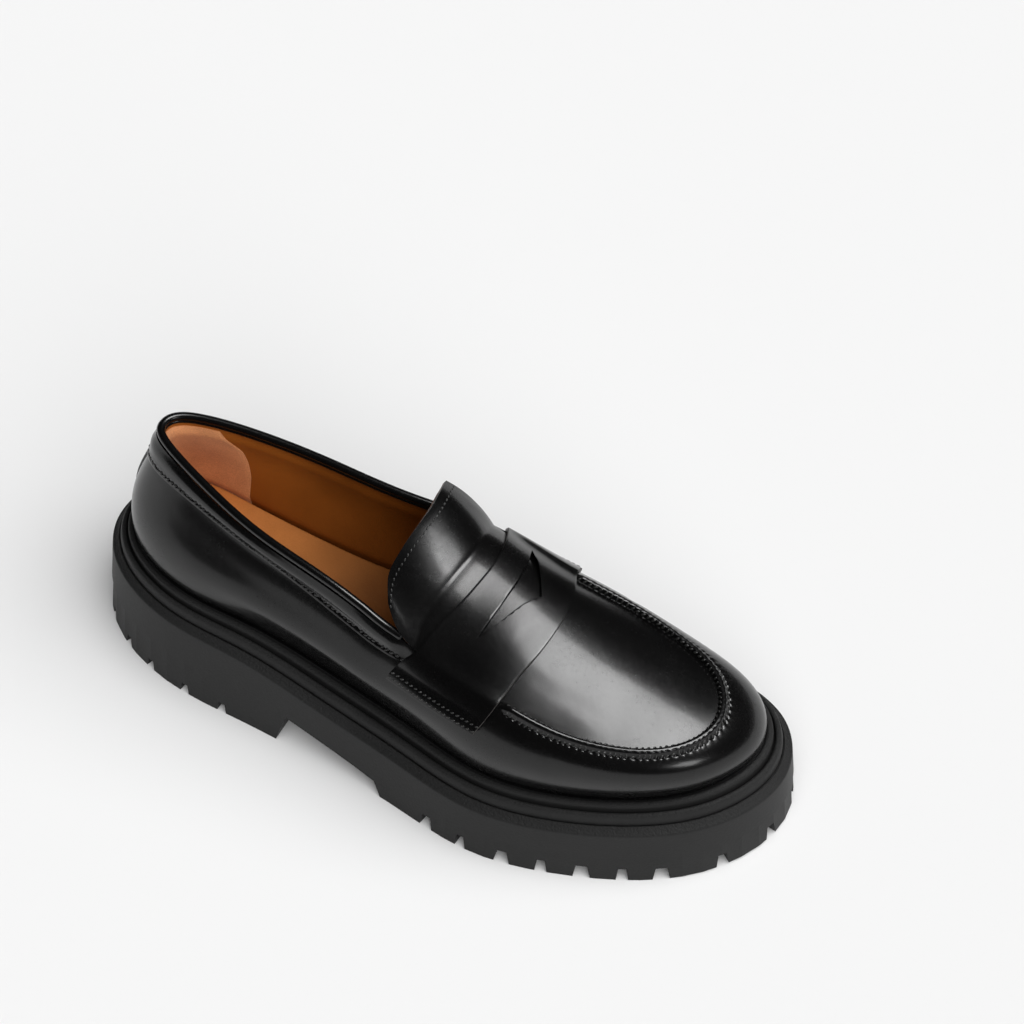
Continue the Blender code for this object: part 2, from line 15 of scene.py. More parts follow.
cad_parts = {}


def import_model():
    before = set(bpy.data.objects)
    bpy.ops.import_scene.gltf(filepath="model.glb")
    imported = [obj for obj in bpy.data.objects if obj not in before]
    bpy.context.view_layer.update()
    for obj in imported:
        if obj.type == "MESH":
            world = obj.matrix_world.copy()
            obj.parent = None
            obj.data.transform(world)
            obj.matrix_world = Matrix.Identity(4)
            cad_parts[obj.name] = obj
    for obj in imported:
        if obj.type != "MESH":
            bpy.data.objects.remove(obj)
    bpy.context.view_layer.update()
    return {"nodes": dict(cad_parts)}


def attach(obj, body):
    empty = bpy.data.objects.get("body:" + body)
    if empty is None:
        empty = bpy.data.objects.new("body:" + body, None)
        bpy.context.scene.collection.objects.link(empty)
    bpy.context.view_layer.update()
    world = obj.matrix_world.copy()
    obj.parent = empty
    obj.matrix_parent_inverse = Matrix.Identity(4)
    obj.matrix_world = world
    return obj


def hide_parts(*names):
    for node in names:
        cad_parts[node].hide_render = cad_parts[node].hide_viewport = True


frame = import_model()
MM = 0.001
MIDDLE = np.array([143.2107, -2.6514, 0.0])


def world(point):
    """A place on the shoe, in metres round the middle of its footprint."""
    return Vector((np.asarray(point, dtype=float) - MIDDLE) * MM)


print("nodes", sorted(frame["nodes"]))

# %% [markdown]
# ## Where the shoe is seen from
# The photograph looks down on the shoe from the outer side and a little from the front, from far
# away with a long lens, so that the sides hardly converge. A camera could be turned by hand until
# the view fits. Here two angles and a distance set it, so that it can be made again exactly. The
# lens axis passes through the point that lies in the middle of the picture.

# %% Camera
AZIMUTH, ELEVATION = math.radians(27.5), math.radians(50.0)
DISTANCE, LENS, SENSOR = 2181.0, 200.1, 36.0
WAIST = np.array([142.0, 0.0, 30.0])
AIM_RIGHT, AIM_ABOVE = 28.7, 53.9
back = np.array([math.sin(AZIMUTH) * math.cos(ELEVATION), -math.cos(AZIMUTH) * math.cos(ELEVATION),
                 math.sin(ELEVATION)])
right = np.array([math.cos(AZIMUTH), math.sin(AZIMUTH), 0.0])
above = np.cross(back, right)
aim = WAIST + right * AIM_RIGHT + above * AIM_ABOVE
bpy.ops.object.camera_add()
camera = bpy.context.object
camera.name = "camera"
facing = Matrix(np.column_stack([right, above, back]).tolist()).to_4x4()
camera.matrix_world = Matrix.Translation(world(aim + back * DISTANCE)) @ facing
camera.data.lens = LENS
camera.data.sensor_width = SENSOR
camera.data.clip_end = 20.0
bpy.context.scene.camera = camera
print("camera stands", round(DISTANCE), "mm away")

# %% [markdown]
# ## Light that draws black leather
# Polished black leather has hardly any colour of its own. What the eye reads is what it mirrors, so
# the light is split in two. Three soft boxes are only mirrored: the overhead one draws the long band
# across the strap and the apron, the rear one the shine on the tongue, and the front one the spot on
# the toe. A wide sun lights everything matt, such as the floor, the lining and the rubber, and isn't
# mirrored itself. One kind of lamp for both would spoil the floor whenever a highlight is moved.

# %% Floor and light
FLOOR_SIZE, FLOOR_DROP = 6.0, 0.0002
LAMPS_LOOK_AT = Vector((0.0, 0.0, 0.05))
bpy.ops.mesh.primitive_plane_add(size=FLOOR_SIZE, location=(0.0, 0.0, -FLOOR_DROP))
floor = bpy.context.object
floor.name = "floor"


def softbox(name, direction, distance, width, height, radiance):
    """A rectangular lamp that looks at the shoe. It is only mirrored, and lights no matt surface."""
    towards = Vector(direction).normalized()
    bpy.ops.object.light_add(type="AREA", location=towards * distance + LAMPS_LOOK_AT)
    lamp = bpy.context.object
    lamp.name = name
    lamp.data.shape = "RECTANGLE"
    lamp.data.size = width
    lamp.data.size_y = height
    lamp.data.energy = radiance * math.pi * width * height
    lengthways = (Vector((1.0, 0.0, 0.0)) - towards * towards.x).normalized()
    lamp.rotation_euler = Matrix((lengthways, towards.cross(lengthways), towards)).transposed().to_euler()
    lamp.visible_diffuse = False


softbox("overhead", direction=(0.29, 0.25, 0.92), distance=1.6, width=0.64, height=0.80, radiance=14.0)
softbox("rear", direction=(0.48, 0.20, 0.85), distance=1.6, width=0.30, height=0.50, radiance=8.0)
softbox("front", direction=(0.84, -0.30, 0.45), distance=1.8, width=0.50, height=0.42, radiance=8.0)
bpy.ops.object.light_add(type="SUN", rotation=(0.2, 0.62, 0.0))
sun = bpy.context.object
sun.name = "fill"
sun.data.energy = 4.5
sun.data.angle = 1.6
sun.visible_glossy = False
room = bpy.data.worlds.new("room")
room.use_nodes = True
room.node_tree.nodes["Background"].inputs["Color"].default_value = (1.0, 1.0, 1.0, 1.0)
room.node_tree.nodes["Background"].inputs["Strength"].default_value = 0.02
bpy.context.scene.world = room
bpy.context.scene.view_settings.view_transform = "Standard"

# %% [markdown]
# ## The shape of the last
# Twenty sections go once round the shoe, from the middle of the heel along the outer side to the toe
# and back along the inner side. Each row says where the sole's ledge is, how far in the upper
# starts, where its top edge runs, and how its wall leans. Pieces that are modelled each on its own
# never quite meet. A closed smooth curve through the rows gives any place between them, so every
# piece that follows is laid on one and the same last.

# %% Sections
COLUMNS = ("edge_x", "edge_y", "ledge_z", "inset", "top_x", "top_y", "top_z",
           "low_out", "low_up", "high_out", "high_drop")
SECTIONS = {
    "heel middle":        (2.5, 6.0, 36.0, 9.5, 21.0, 5.0, 95.5, 6.0, 17.0, 4.5, 17.0),
    "heel back lateral":  (13.5, -21.5, 36.0, 9.0, 27.0, -3.0, 95.1, 5.0, 16.0, 5.0, 16.0),
    "heel lateral":       (44.5, -37.5, 35.8, 9.0, 50.0, -13.2, 92.6, 4.0, 16.0, 8.0, 14.0),
    "heel front lateral": (79.0, -41.5, 35.0, 10.0, 80.0, -22.6, 89.3, 3.0, 14.0, 6.0, 14.0),
    "waist lateral":      (114.0, -45.0, 29.0, 11.0, 115.0, -27.9, 83.9, 3.0, 13.0, 5.0, 14.0),
    "throat lateral":     (149.0, -50.2, 25.0, 11.0, 149.5, -32.2, 73.0, 4.0, 12.0, 8.0, 9.0),
    "ball lateral":       (184.0, -56.4, 24.2, 10.5, 184.0, -37.5, 69.0, 5.0, 12.0, 9.0, 6.0),
    "fore lateral":       (217.5, -51.6, 24.2, 10.0, 213.0, -37.0, 62.8, 5.0, 11.0, 9.0, 4.0),
    "toe side lateral":   (249.1, -39.2, 25.4, 10.0, 240.0, -28.5, 58.8, 5.0, 10.5, 9.0, 3.5),
    "toe lateral":        (273.6, -19.4, 26.0, 10.8, 257.0, -13.5, 57.2, 5.0, 10.0, 9.0, 3.0),
    "toe middle":         (284.7, 10.0, 26.0, 11.3, 260.5, 5.0, 57.0, 5.0, 10.0, 9.0, 3.0),
    "toe medial":         (272.2, 35.8, 25.4, 10.3, 250.0, 20.5, 57.5, 4.5, 10.0, 8.0, 3.0),
    "toe side medial":    (245.6, 45.7, 24.6, 9.7, 232.0, 28.0, 59.2, 4.0, 11.0, 7.0, 3.5),
    "fore medial":        (216.0, 49.2, 24.3, 9.5, 207.0, 31.0, 63.7, 4.0, 11.0, 7.5, 4.0),
    "ball medial":        (184.0, 51.0, 24.8, 9.7, 180.0, 30.0, 70.8, 4.0, 12.0, 9.0, 6.0),
    "throat medial":      (150.0, 44.5, 26.0, 10.0, 150.0, 32.0, 76.6, 3.0, 13.0, 7.0, 10.0),
    "waist medial":       (118.0, 34.0, 29.0, 10.0, 116.0, 26.5, 82.8, 4.0, 14.0, 5.0, 14.0),
    "heel front medial":  (84.0, 30.0, 34.5, 9.5, 82.0, 24.6, 86.8, 4.0, 14.0, 5.0, 14.0),
    "heel medial":        (50.0, 32.0, 35.8, 9.0, 50.0, 20.8, 91.1, 4.0, 16.0, 6.0, 14.0),
    "heel back medial":   (18.5, 30.5, 36.0, 9.0, 27.0, 13.7, 94.7, 5.0, 16.0, 5.0, 16.0),
}
ROWS = np.array(list(SECTIONS.values()))
COUNT = len(ROWS)
# How strongly the closed curve bends at each row: one set of equations makes it smooth all round
one_each = np.eye(COUNT)
BENDS = np.linalg.solve(4 * one_each + np.roll(one_each, 1, axis=0) + np.roll(one_each, -1, axis=0),
                        6 * (np.roll(ROWS, -1, axis=0) - 2 * ROWS + np.roll(ROWS, 1, axis=0)))


def section(station):
    """Every column of the table at each of an array of stations."""
    station = np.asarray(station, dtype=float)
    low = np.floor(station).astype(int)
    part = (station - low)[..., None]
    rest = 1 - part
    this, following = low % COUNT, (low + 1) % COUNT
    value = rest * ROWS[this] + part * ROWS[following]
    value = value + ((rest ** 3 - rest) * BENDS[this] + (part ** 3 - part) * BENDS[following]) / 6
    return dict(zip(COLUMNS, np.moveaxis(value, -1, 0)))


def xyz(x, y, z):
    """Points from their three coordinates."""
    return np.stack(np.broadcast_arrays(x, y, z), axis=-1).astype(float)


def one_long(directions):
    """The same directions, each one unit long."""
    return directions / np.linalg.norm(directions, axis=-1, keepdims=True)


def outward(station, x="edge_x", y="edge_y"):
    """The level direction that points out of the shoe at each station."""
    before, after = section(np.asarray(station) - 0.02), section(np.asarray(station) + 0.02)
    return one_long(xyz(after[y] - before[y], before[x] - after[x], 0.0))


def ease(value):
    """0 below 0, 1 above 1, and a smooth step between."""
    value = np.clip(value, 0.0, 1.0)
    return value * value * (3 - 2 * value)


def hill(value, middle, half_width):
    """1 at the middle, fading smoothly to 0 on both sides of it."""
    return np.exp(-((value - middle) / half_width) ** 2)


def from_heel(station):
    """How many stations away from the middle of the heel, along the nearer side."""
    station = np.asarray(station, dtype=float) % COUNT
    return np.minimum(station, COUNT - station)


ball_width = section(14.0)["edge_y"] - section(6.0)["edge_y"]
print(COUNT, "sections; ball width", round(float(ball_width), 1), "mm")

# %% [markdown]
# ## Wall, seam and apron as functions
# The wall of the upper climbs from the sole to the top edge as a bulging curve. In front, its top
# edge is the apron seam, and the apron is a smooth patch hung between the two sides of the seam, the
# toe and the free edge of the tongue, with a dome added so that it stands over the toes. Functions
# are used and not meshes, because the lining, the strap and the stitches need the same surfaces.

# %% Surfaces
PLATFORM_RISE, SEAT_GAP = 9.0, 0.3
BINDING_RADIUS, BINDING_INSET, BINDING_LIFT, BINDING_SEAT = 1.7, 0.8, 0.5, 3.0
THROAT, TONGUE_END, TOE_CORNER, SEAM_FOOT, TONGUE_SWELL = 5.0, 4.0, 8.5, 2.0, 2.2
SEAT_FADE, SEAM_FADE = 0.6, 0.5
TONGUE_EDGE = np.array([(134.5, -24.0, 82.2), (130.3, -15.5, 87.6), (131.1, -6.5, 93.0), (132.8, 3.0, 97.0),
                        (134.1, 12.0, 99.4), (133.6, 20.0, 100.0), (131.5, 28.5, 96.5)])
# The dome over the apron's middle line, as station and rise, and how it is rounded off
CROWN = np.array([(4.0, 0.0), (5.0, 6.0), (6.0, 3.6), (7.0, 3.2), (8.0, 1.5), (8.5, 0.0)])
CROWN_SHIFTS = (-0.1, -0.05, 0.0, 0.05, 0.1)
CROWN_POWER = 2.2
UP = np.array([0.0, 0.0, 1.0])


def side(station, out, rise):
    """The sole's side: out is 0 at the upper and 1 at the rim of the ledge, rise is above the rim."""
    row = section(station)
    rim = xyz(row["edge_x"], row["edge_y"], row["ledge_z"] + rise)
    return rim - outward(station) * (row["inset"] * (1 - np.asarray(out)))[..., None]


def top(station):
    """The upper edge of the wall."""
    row = section(station)
    drop = BINDING_SEAT * ease((THROAT - from_heel(station)) / SEAT_FADE)
    return xyz(row["top_x"], row["top_y"], row["top_z"] - drop)


def wall(station, height):
    """The outer wall of the upper: height is 0 at its foot and 1 at its top edge."""
    row = section(station)
    low, high, out = side(station, 0.0, PLATFORM_RISE + SEAT_GAP), top(station), outward(station)
    lower = low + out * row["low_out"][..., None] + UP * row["low_up"][..., None]
    higher = high + out * row["high_out"][..., None] - UP * row["high_drop"][..., None]
    height = np.asarray(height, dtype=float)[..., None]
    rest = 1 - height
    return (low * rest ** 3 + 3 * lower * height * rest ** 2
            + 3 * higher * height ** 2 * rest + high * height ** 3)


def near_top(station, distance):
    """The height on the wall that lies a short distance under its top edge."""
    row = section(station)
    return 1 - distance / (3 * np.hypot(row["high_out"], row["high_drop"]))


def apron_ring(station, distance):
    """A point inside the apron seam, a distance in from it."""
    fade = ease((from_heel(station) - THROAT) / SEAM_FADE)
    inward = -outward(station, "top_x", "top_y")
    return top(station) + inward * (np.asarray(distance) * fade)[..., None]


def open_curve(rows, part):
    """A smooth curve through rows, part running from 0 to 1."""
    rows = np.asarray(rows, dtype=float).reshape(len(rows), -1)
    place = np.clip(part, 0.0, 1.0) * (len(rows) - 1)
    low = np.minimum(place.astype(int), len(rows) - 2)
    part = (place - low)[..., None]
    before, first = rows[np.maximum(low - 1, 0)], rows[low]
    last, after = rows[low + 1], rows[np.minimum(low + 2, len(rows) - 1)]
    return ((2 * part ** 3 - 3 * part ** 2 + 1) * first
            + (part ** 3 - 2 * part ** 2 + part) * (last - before) / 2
            + (3 * part ** 2 - 2 * part ** 3) * last
            + (part ** 3 - part ** 2) * (after - first) / 2)


def apron_side(station, medial):
    """The long edge of the apron: free along the tongue, then inside the seam."""
    corner = TONGUE_EDGE[-1 if medial else 0]
    sign = -1.0 if medial else 1.0
    part = np.clip((station - TONGUE_END) / (THROAT - TONGUE_END), 0.0, 1.0)[..., None]
    free = (1 - part) * corner + part * apron_ring(np.array(sign * THROAT), 0.0)
    free = free - np.array([0.0, sign * TONGUE_SWELL, 0.0]) * 4 * part * (1 - part)
    seamed = apron_ring(sign * np.maximum(station, THROAT), SEAM_FOOT)
    return np.where((station >= THROAT)[..., None], seamed, free)


def apron(station, across):
    """The domed apron and tongue: station from the tongue's end to the toe, across from 0 to 1."""
    station, across = np.broadcast_arrays(np.asarray(station, dtype=float), np.asarray(across, dtype=float))
    forward = ((station - TONGUE_END) / (TOE_CORNER - TONGUE_END))[..., None]
    over = across[..., None]
    rear = open_curve(TONGUE_EDGE, across)
    toe = apron_ring(TOE_CORNER + (COUNT - 2 * TOE_CORNER) * across, SEAM_FOOT)
    lateral, medial = apron_side(station, False), apron_side(station, True)
    rear_outer, rear_inner = [apron_side(np.array(TONGUE_END), inner) for inner in (False, True)]
    toe_outer, toe_inner = [apron_side(np.array(TOE_CORNER), inner) for inner in (False, True)]
    corners = ((1 - forward) * ((1 - over) * rear_outer + over * rear_inner)
               + forward * ((1 - over) * toe_outer + over * toe_inner))
    point = (1 - over) * lateral + over * medial + (1 - forward) * rear + forward * toe - corners
    crown = sum(np.interp(station + shift, *CROWN.T) for shift in CROWN_SHIFTS) / len(CROWN_SHIFTS)
    rise = crown * (1 - np.abs(2 * across - 1) ** CROWN_POWER)
    return point + UP * rise[..., None]


print("instep stands", round(float(apron(5.0, 0.5)[2]), 1), "mm over the floor")

# %% [markdown]
# ## Writing shader maths as sums
# A material is a small drawing of nodes. Written out node by node it is long and hard to read. So one
# class wraps a node's output and lets ordinary arithmetic add the maths nodes, and one method adds
# every other kind of node.

# %% Wires and finishes
class Wire:
    """One output of a node. Sums, differences and products of wires add Math nodes."""

    def __init__(self, finish, socket):
        self.finish = finish
        self.socket = socket

    def maths(self, operation, *values):
        return self.finish.node("Math", {"operation": operation}, dict(enumerate((self, *values))))

    def __add__(self, other):
        return self.maths("ADD", other)

    def __mul__(self, other):
        return self.maths("MULTIPLY", other)

    def __sub__(self, other):
        return self.maths("SUBTRACT", other)

    def __rsub__(self, other):
        return self * -1.0 + other

    __radd__, __rmul__ = __add__, __mul__

    def step(self, low, high):
        """0 below low, 1 above high, and smooth between."""
        return self.finish.node("MapRange", {"interpolation_type": "SMOOTHSTEP"},
                                {"Value": self, "From Min": low, "From Max": high})


class Finish:
    """A material in the making: constants are set on its shader's own sockets."""

    def __init__(self, name, **constants):
        self.material = bpy.data.materials.new(name)
        self.material.use_nodes = True
        self.tree = self.material.node_tree
        self.shader = self.tree.nodes["Principled BSDF"]
        for socket, value in constants.items():
            self.shader.inputs[socket.replace("_", " ")].default_value = value

    def node(self, kind, settings=None, sockets=None, output=0):
        """Add a node, set it, feed its sockets, and give back the wire of one output."""
        made = self.tree.nodes.new("ShaderNode" + kind)
        for name, value in (settings or {}).items():
            setattr(made, name, value)
        for name, value in (sockets or {}).items():
            self.join(made.inputs[name], value)
        return Wire(self, made.outputs[output])

    def join(self, socket, value):
        if isinstance(value, Wire):
            self.tree.links.new(value.socket, socket)
        else:
            socket.default_value = value

    def feed(self, name, value):
        """Give one of the shader's own sockets a value or a wire."""
        self.join(self.shader.inputs[name], value)

    def noise(self, size, detail=2.0):
        """Cloudy noise whose blotches are about one size, in millimetres."""
        place = self.node("TexCoord", output="Object")
        return self.node("TexNoise", {}, {"Vector": place, "Scale": 1.0 / (size * MM), "Detail": detail})

    def cells(self, size):
        """Round cells of about one size, in millimetres: the pebbles of a grain."""
        place = self.node("TexCoord", output="Object")
        return self.node("TexVoronoi", {}, {"Vector": place, "Scale": 1.0 / (size * MM)})

    def axis(self, kind, vector, letter):
        """One axis of a node's vector: of a place in metres, or of the direction a face looks."""
        return self.node("SeparateXYZ", {}, {"Vector": self.node(kind, output=vector)}, output=letter)

    def colour(self, share, dark, light):
        """The base colour: dark where share is 0, and light where it is 1."""
        mixed = {"Fac": share, "Color1": (*dark, 1.0), "Color2": (*light, 1.0)}
        self.feed("Base Color", self.node("MixRGB", {"blend_type": "MIX"}, mixed))

    def bump(self, height, depth):
        """Lift the surface by height times depth, in millimetres."""
        lift = {"Height": height, "Distance": depth * MM, "Strength": 1.0}
        self.feed("Normal", self.node("Bump", {}, lift))


print("a finish holds one material")

# %% [markdown]
# ## Black leather
# The upper is box leather: nearly black, dense, and polished until it mirrors, with a grain that only
# shows at the edges of a highlight. A picture of leather would repeat and blur. Noise in real
# millimetres doesn't: wide clouds change the polish, and fine ones make the grain. Where the hide is
# cut, its edge is matt and a little greyer.

# %% Leather finishes
leather = Finish("polished_leather", Specular_IOR_Level=0.32, Coat_Roughness=0.11)
cloud, wave, fine = leather.noise(26.0), leather.noise(9.0, 1.0), leather.noise(1.6)
leather.colour(cloud, dark=(0.0012, 0.0012, 0.0013), light=(0.0026, 0.0025, 0.0025))
leather.feed("Roughness", cloud * 0.08 + fine * 0.10 + 0.16)
leather.feed("Coat Weight", 0.26 - cloud * 0.14)
leather.bump(fine * 0.35 + wave * 2.4, 0.04)

edge_leather = Finish("cut_edge_leather", Roughness=0.55)
edge_leather.colour(edge_leather.noise(0.9, 3.0), dark=(0.022, 0.021, 0.020), light=(0.055, 0.050, 0.046))
edge_leather.bump(edge_leather.noise(0.5, 3.0), 0.12)
print("finishes", leather.material.name, edge_leather.material.name)

# %% [markdown]
# ## Tan lining, insole and suede
# The lining is undyed calf with fine pebbles, the insole is the same tan but smoother, and the suede
# heel pad is paler and pinker. The lining and the insole carry painted shade: their colour is painted
# darker towards the toe, where little light comes in. The lamps alone leave the inside too bright
# there, so this shade is painted into the finish.

# %% Lining finishes
lining = Finish("tan_lining", Specular_IOR_Level=0.25)
cloud, fine = lining.noise(18.0, 3.0), lining.noise(0.7, 3.0)
# Painted shade: towards the toe the lining's colour is darkened, standing in for the shade inside the shoe
painted_toe_shade = lining.axis("TexCoord", "Object", "X").step(-0.12, -0.02)
tone = (cloud * 0.45 + fine * 0.2 + 0.3) * (1.0 - painted_toe_shade * 0.75)
lining.colour(tone, dark=(0.06, 0.013, 0.001), light=(0.44, 0.135, 0.020))
lining.feed("Roughness", fine * 0.25 + 0.38)
lining.bump(lining.cells(0.6) * 0.5 + fine, 0.05)

sock_leather = Finish("insole_leather", Roughness=0.7, Specular_IOR_Level=0.05)
cloud, fine = sock_leather.noise(14.0, 3.0), sock_leather.noise(0.6, 3.0)
# Painted shade: towards the toe the insole's colour is darkened, standing in for the shade inside the shoe
painted_toe_shade = sock_leather.axis("TexCoord", "Object", "X").step(-0.10, -0.01)
tone = (cloud * 0.4 + fine * 0.2 + 0.4) * (1.0 - painted_toe_shade * 0.92)
sock_leather.colour(tone, dark=(0.05, 0.014, 0.002), light=(0.72, 0.27, 0.075))
sock_leather.bump(fine, 0.05)

suede = Finish("heel_pad_suede", Roughness=0.9, Sheen_Weight=0.08, Sheen_Roughness=0.5)
nap = suede.noise(0.5, 4.0)
suede.colour(suede.noise(9.0, 3.0) * 0.35 + nap * 0.65, dark=(0.26, 0.09, 0.030), light=(0.95, 0.44, 0.19))
suede.bump(nap, 0.16)
print("finishes", lining.material.name, sock_leather.material.name, suede.material.name)

# %% [markdown]
# ## Rubber and thread
# The sole is moulded rubber, matt and slightly grey. Where it faces up, on its ledge, the mould leaves
# a sandy grain, so the bump grows with the upward part of the surface's own direction. The thread is
# waxed, and shines a little.

# %% Rubber and thread
rubber = Finish("moulded_rubber", Specular_IOR_Level=0.23)
cloud, fine = rubber.noise(30.0), rubber.noise(0.9, 3.0)
ledge = rubber.axis("NewGeometry", "Normal", "Z").step(0.25, 0.6)
rubber.colour(cloud, dark=(0.009, 0.009, 0.009), light=(0.016, 0.016, 0.016))
rubber.feed("Roughness", fine * 0.12 + cloud * 0.06 + 0.44 + ledge * 0.15)
rubber.bump(fine * (ledge * 2.0 + 0.3), 0.22)

thread = Finish("waxed_thread", Roughness=0.4, Coat_Weight=0.3)
thread.colour(thread.noise(0.8), dark=(0.006, 0.006, 0.006), light=(0.022, 0.022, 0.021))
thread.bump(thread.noise(0.25), 0.05)
print("finishes", rubber.material.name, thread.material.name)

# %% [markdown]
# ## From a flat grid to a shoe
# Every soft piece starts as Blender's own grid primitive, cut as fine as the piece needs. Its points
# are then laid on the last by the functions above, as leather is pulled over a last, and it gets its
# thickness from a Solidify modifier that is applied at once. Sculpting could give the same forms, but
# not edges that meet exactly.

# %% Laying a grid on the last
MERGE = 0.02


def pick(piece):
    """Make one object the only selected and active one."""
    bpy.ops.object.select_all(action="DESELECT")
    piece.select_set(True)
    bpy.context.view_layer.objects.active = piece


def use(piece, kind, **settings):
    """Give a piece a modifier and apply it."""
    pick(piece)
    change = piece.modifiers.new(kind.lower(), kind)
    for name, value in settings.items():
        setattr(change, name, value)
    bpy.ops.object.modifier_apply(modifier=change.name)


def laid(name, points, finish, closed=False):
    """A grid primitive whose points are moved to the rows of points, in shoe millimetres."""
    rows, columns = points.shape[:2]
    bpy.ops.object.select_all(action="DESELECT")
    bpy.ops.mesh.primitive_grid_add(x_subdivisions=columns - 1, y_subdivisions=rows - 1, size=1.0)
    piece = bpy.context.object
    piece.name = name
    places = ((points.reshape(-1, 3) - MIDDLE) * MM).astype(np.float32)
    piece.data.vertices.foreach_set("co", places.ravel())
    piece.data.update()
    if closed:
        bpy.ops.object.mode_set(mode="EDIT")
        bpy.ops.mesh.select_all(action="SELECT")
        bpy.ops.mesh.remove_doubles(threshold=MERGE * MM)
        bpy.ops.object.mode_set(mode="OBJECT")
    piece.data.materials.append(finish.material)
    return piece


def done(piece, slot, *nodes, angle=40.0):
    """Shade a piece, hide the solids that it stands for, and let it ride; the slot is not used."""
    pick(piece)
    bpy.ops.object.shade_smooth_by_angle(angle=math.radians(angle))
    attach(piece, "root")
    if nodes:
        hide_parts(*nodes)
    print(piece.name, len(piece.data.polygons), "faces")


def along(points):
    """How far along a row of points each of them lies, in millimetres."""
    steps = np.linalg.norm(np.diff(points, axis=0), axis=-1)
    return np.concatenate([[0.0], np.cumsum(steps)])


def even(function, first, last, spacing):
    """Stations that lie evenly spaced along a line, with their distances in millimetres."""
    trial = np.linspace(first, last, 2000)
    length = along(function(trial))
    count = int(round(length[-1] / spacing)) + 1
    distance = np.linspace(0.0, length[-1], count)
    return np.interp(distance, length, trial), distance


def normals(points, closed=False):
    """The direction that each point of a grid faces: columns crossed with rows."""
    if closed:
        ring = np.concatenate([points[:, -2:-1], points, points[:, 1:2]], axis=1)
        across = ring[:, 2:] - ring[:, :-2]
    else:
        across = np.gradient(points, axis=1)
    facing = np.cross(across, np.gradient(points, axis=0))
    return facing / np.maximum(np.linalg.norm(facing, axis=-1, keepdims=True), 1e-9)


def lifted(points, distance, closed=False):
    """The same grid moved out along its own facing by a distance, or by one for each point."""
    return points + normals(points, closed) * np.broadcast_to(distance, points.shape[:2])[..., None]


print("a sheet of leather is ready to be laid")

# %% [markdown]
# ## Quarters and vamp
# One hide goes round the foot: the quarters at the back and the vamp in front. It is lasted, so it
# bulges over the ball and the toes and hollows a little above the waist. The forms below are the
# belly, the hollows and the soft wrinkles that lasting and wear leave. Each is placed one by one with
# its size and depth, because noise would put them where a foot doesn't bend.

# %% Quarters and vamp
LEATHER = 1.3
SEAM_BORDER, FOOT_FADE = 5.0, 0.1
SOFT_FORMS = (
    # station, height, half length in stations, half height, depth in mm
    (2.2, 0.60, 0.9, 0.22, -0.7),
    (3.6, 0.45, 0.8, 0.28, -0.5),
    (17.2, 0.55, 1.1, 0.25, -0.7),
    (6.5, 0.45, 0.5, 0.25, 0.4),
    (13.6, 0.50, 0.6, 0.25, 0.4),
    (3.7, 0.42, 1.6, 0.18, 2.4),
    (3.8, 0.83, 1.5, 0.11, -1.8),
    (16.3, 0.42, 1.6, 0.18, 2.0),
    (16.2, 0.83, 1.5, 0.11, -1.2),
    (6.95, 0.72, 0.10, 0.25, -0.25),
    (13.1, 0.74, 0.10, 0.25, -0.25),
    (5.2, 0.30, 0.5, 0.18, -0.35),
    (14.9, 0.30, 0.5, 0.18, -0.35),
)


def softness(station, height):
    """The sum of the listed forms at each place of the wall."""
    total = np.zeros(np.broadcast(station, height).shape)
    for place, level, length, tall, depth in SOFT_FORMS:
        apart = (np.asarray(station) - place + COUNT / 2) % COUNT - COUNT / 2
        total = total + depth * hill(apart, 0.0, length) * hill(height, level, tall)
    return total


def wall_top(station):
    """How far under its top edge the wall piece stops: the seam piece takes over there."""
    return SEAM_BORDER * ease((from_heel(station) - THROAT) / SEAM_FADE)


def wall_grid(columns, rows):
    """Stations and heights of a grid that covers the wall."""
    station = np.linspace(0.0, COUNT, columns)[None, :]
    height = near_top(station, wall_top(station)) * np.linspace(0.0, 1.0, rows)[:, None]
    return np.broadcast_arrays(station, height)


def quarter(station, height):
    """The wall with its soft forms, which the pieces that are sewn on it follow too."""
    station, height = np.broadcast_arrays(station, height)
    depth = softness(station, height) * ease(height / FOOT_FADE)
    return wall(station, height) + outward(station) * depth[..., None]


upper = laid("vamp_and_quarters", quarter(*wall_grid(columns=481, rows=44)), leather, closed=True)
use(upper, "SOLIDIFY", thickness=LEATHER * MM, offset=-1.0, use_even_offset=True)
done(upper, "leather", "upper")

# %% [markdown]
# ## The apron seam
# The apron is sewn into the vamp by hand: the vamp's edge is turned up into a lip about three
# millimetres wide, and every stitch pulls a small pucker into both of its flanks. A bump map would
# be lost at the lip's edge against the light, so the lip is a raised profile across the seam, and
# the puckers repeat along its true length.

# %% Apron seam
STITCH = 2.6
SEAM_RIDGE, LIP_HALF, LIP_FOOT = 1.7, 0.95, 2.1
RIDGE_START, RIDGE_FADE, SEAM_STEP = 6.1, 0.25, 0.43
# How far the rows lie from the middle of the lip: on the vamp outside it, and on the apron inside it
OUTER_ROWS = (5.0, 4.5, 4.0, 3.5, 3.1, 2.8, 2.5, 2.25, 2.0, 1.75, 1.5, 1.25, 1.0, 0.7, 0.35, 0.0)
INNER_ROWS = (0.35, 0.7, 0.95, 1.15, 1.35, 1.55, 1.75, 1.9, 2.0)
# How deep a stitch pulls a flank in, how far from the middle of the lip, and over what half width
OUTER_PULL, INNER_PULL, INNER_SHIFT = (0.75, 1.7, 0.75), (0.6, 1.35, 0.4), 0.8
GATHER, GATHER_LEVEL = 0.20, 0.4


def pucker(distance):
    """1 where a stitch pulls the leather in, 0 between stitches, a little uneven as by hand."""
    wander = 0.35 * np.sin(distance * 0.37) + 0.25 * np.sin(distance * 0.83 + 1.0)
    return (0.5 + 0.5 * np.cos((distance + wander) * 2 * math.pi / STITCH)) ** 2


def pulled(length, distance, pull):
    """How far the stitches pull a flank in, at lengths along the seam and a distance from its lip."""
    depth, place, half_width = pull
    return depth * pucker(length) * hill(distance, place, half_width)


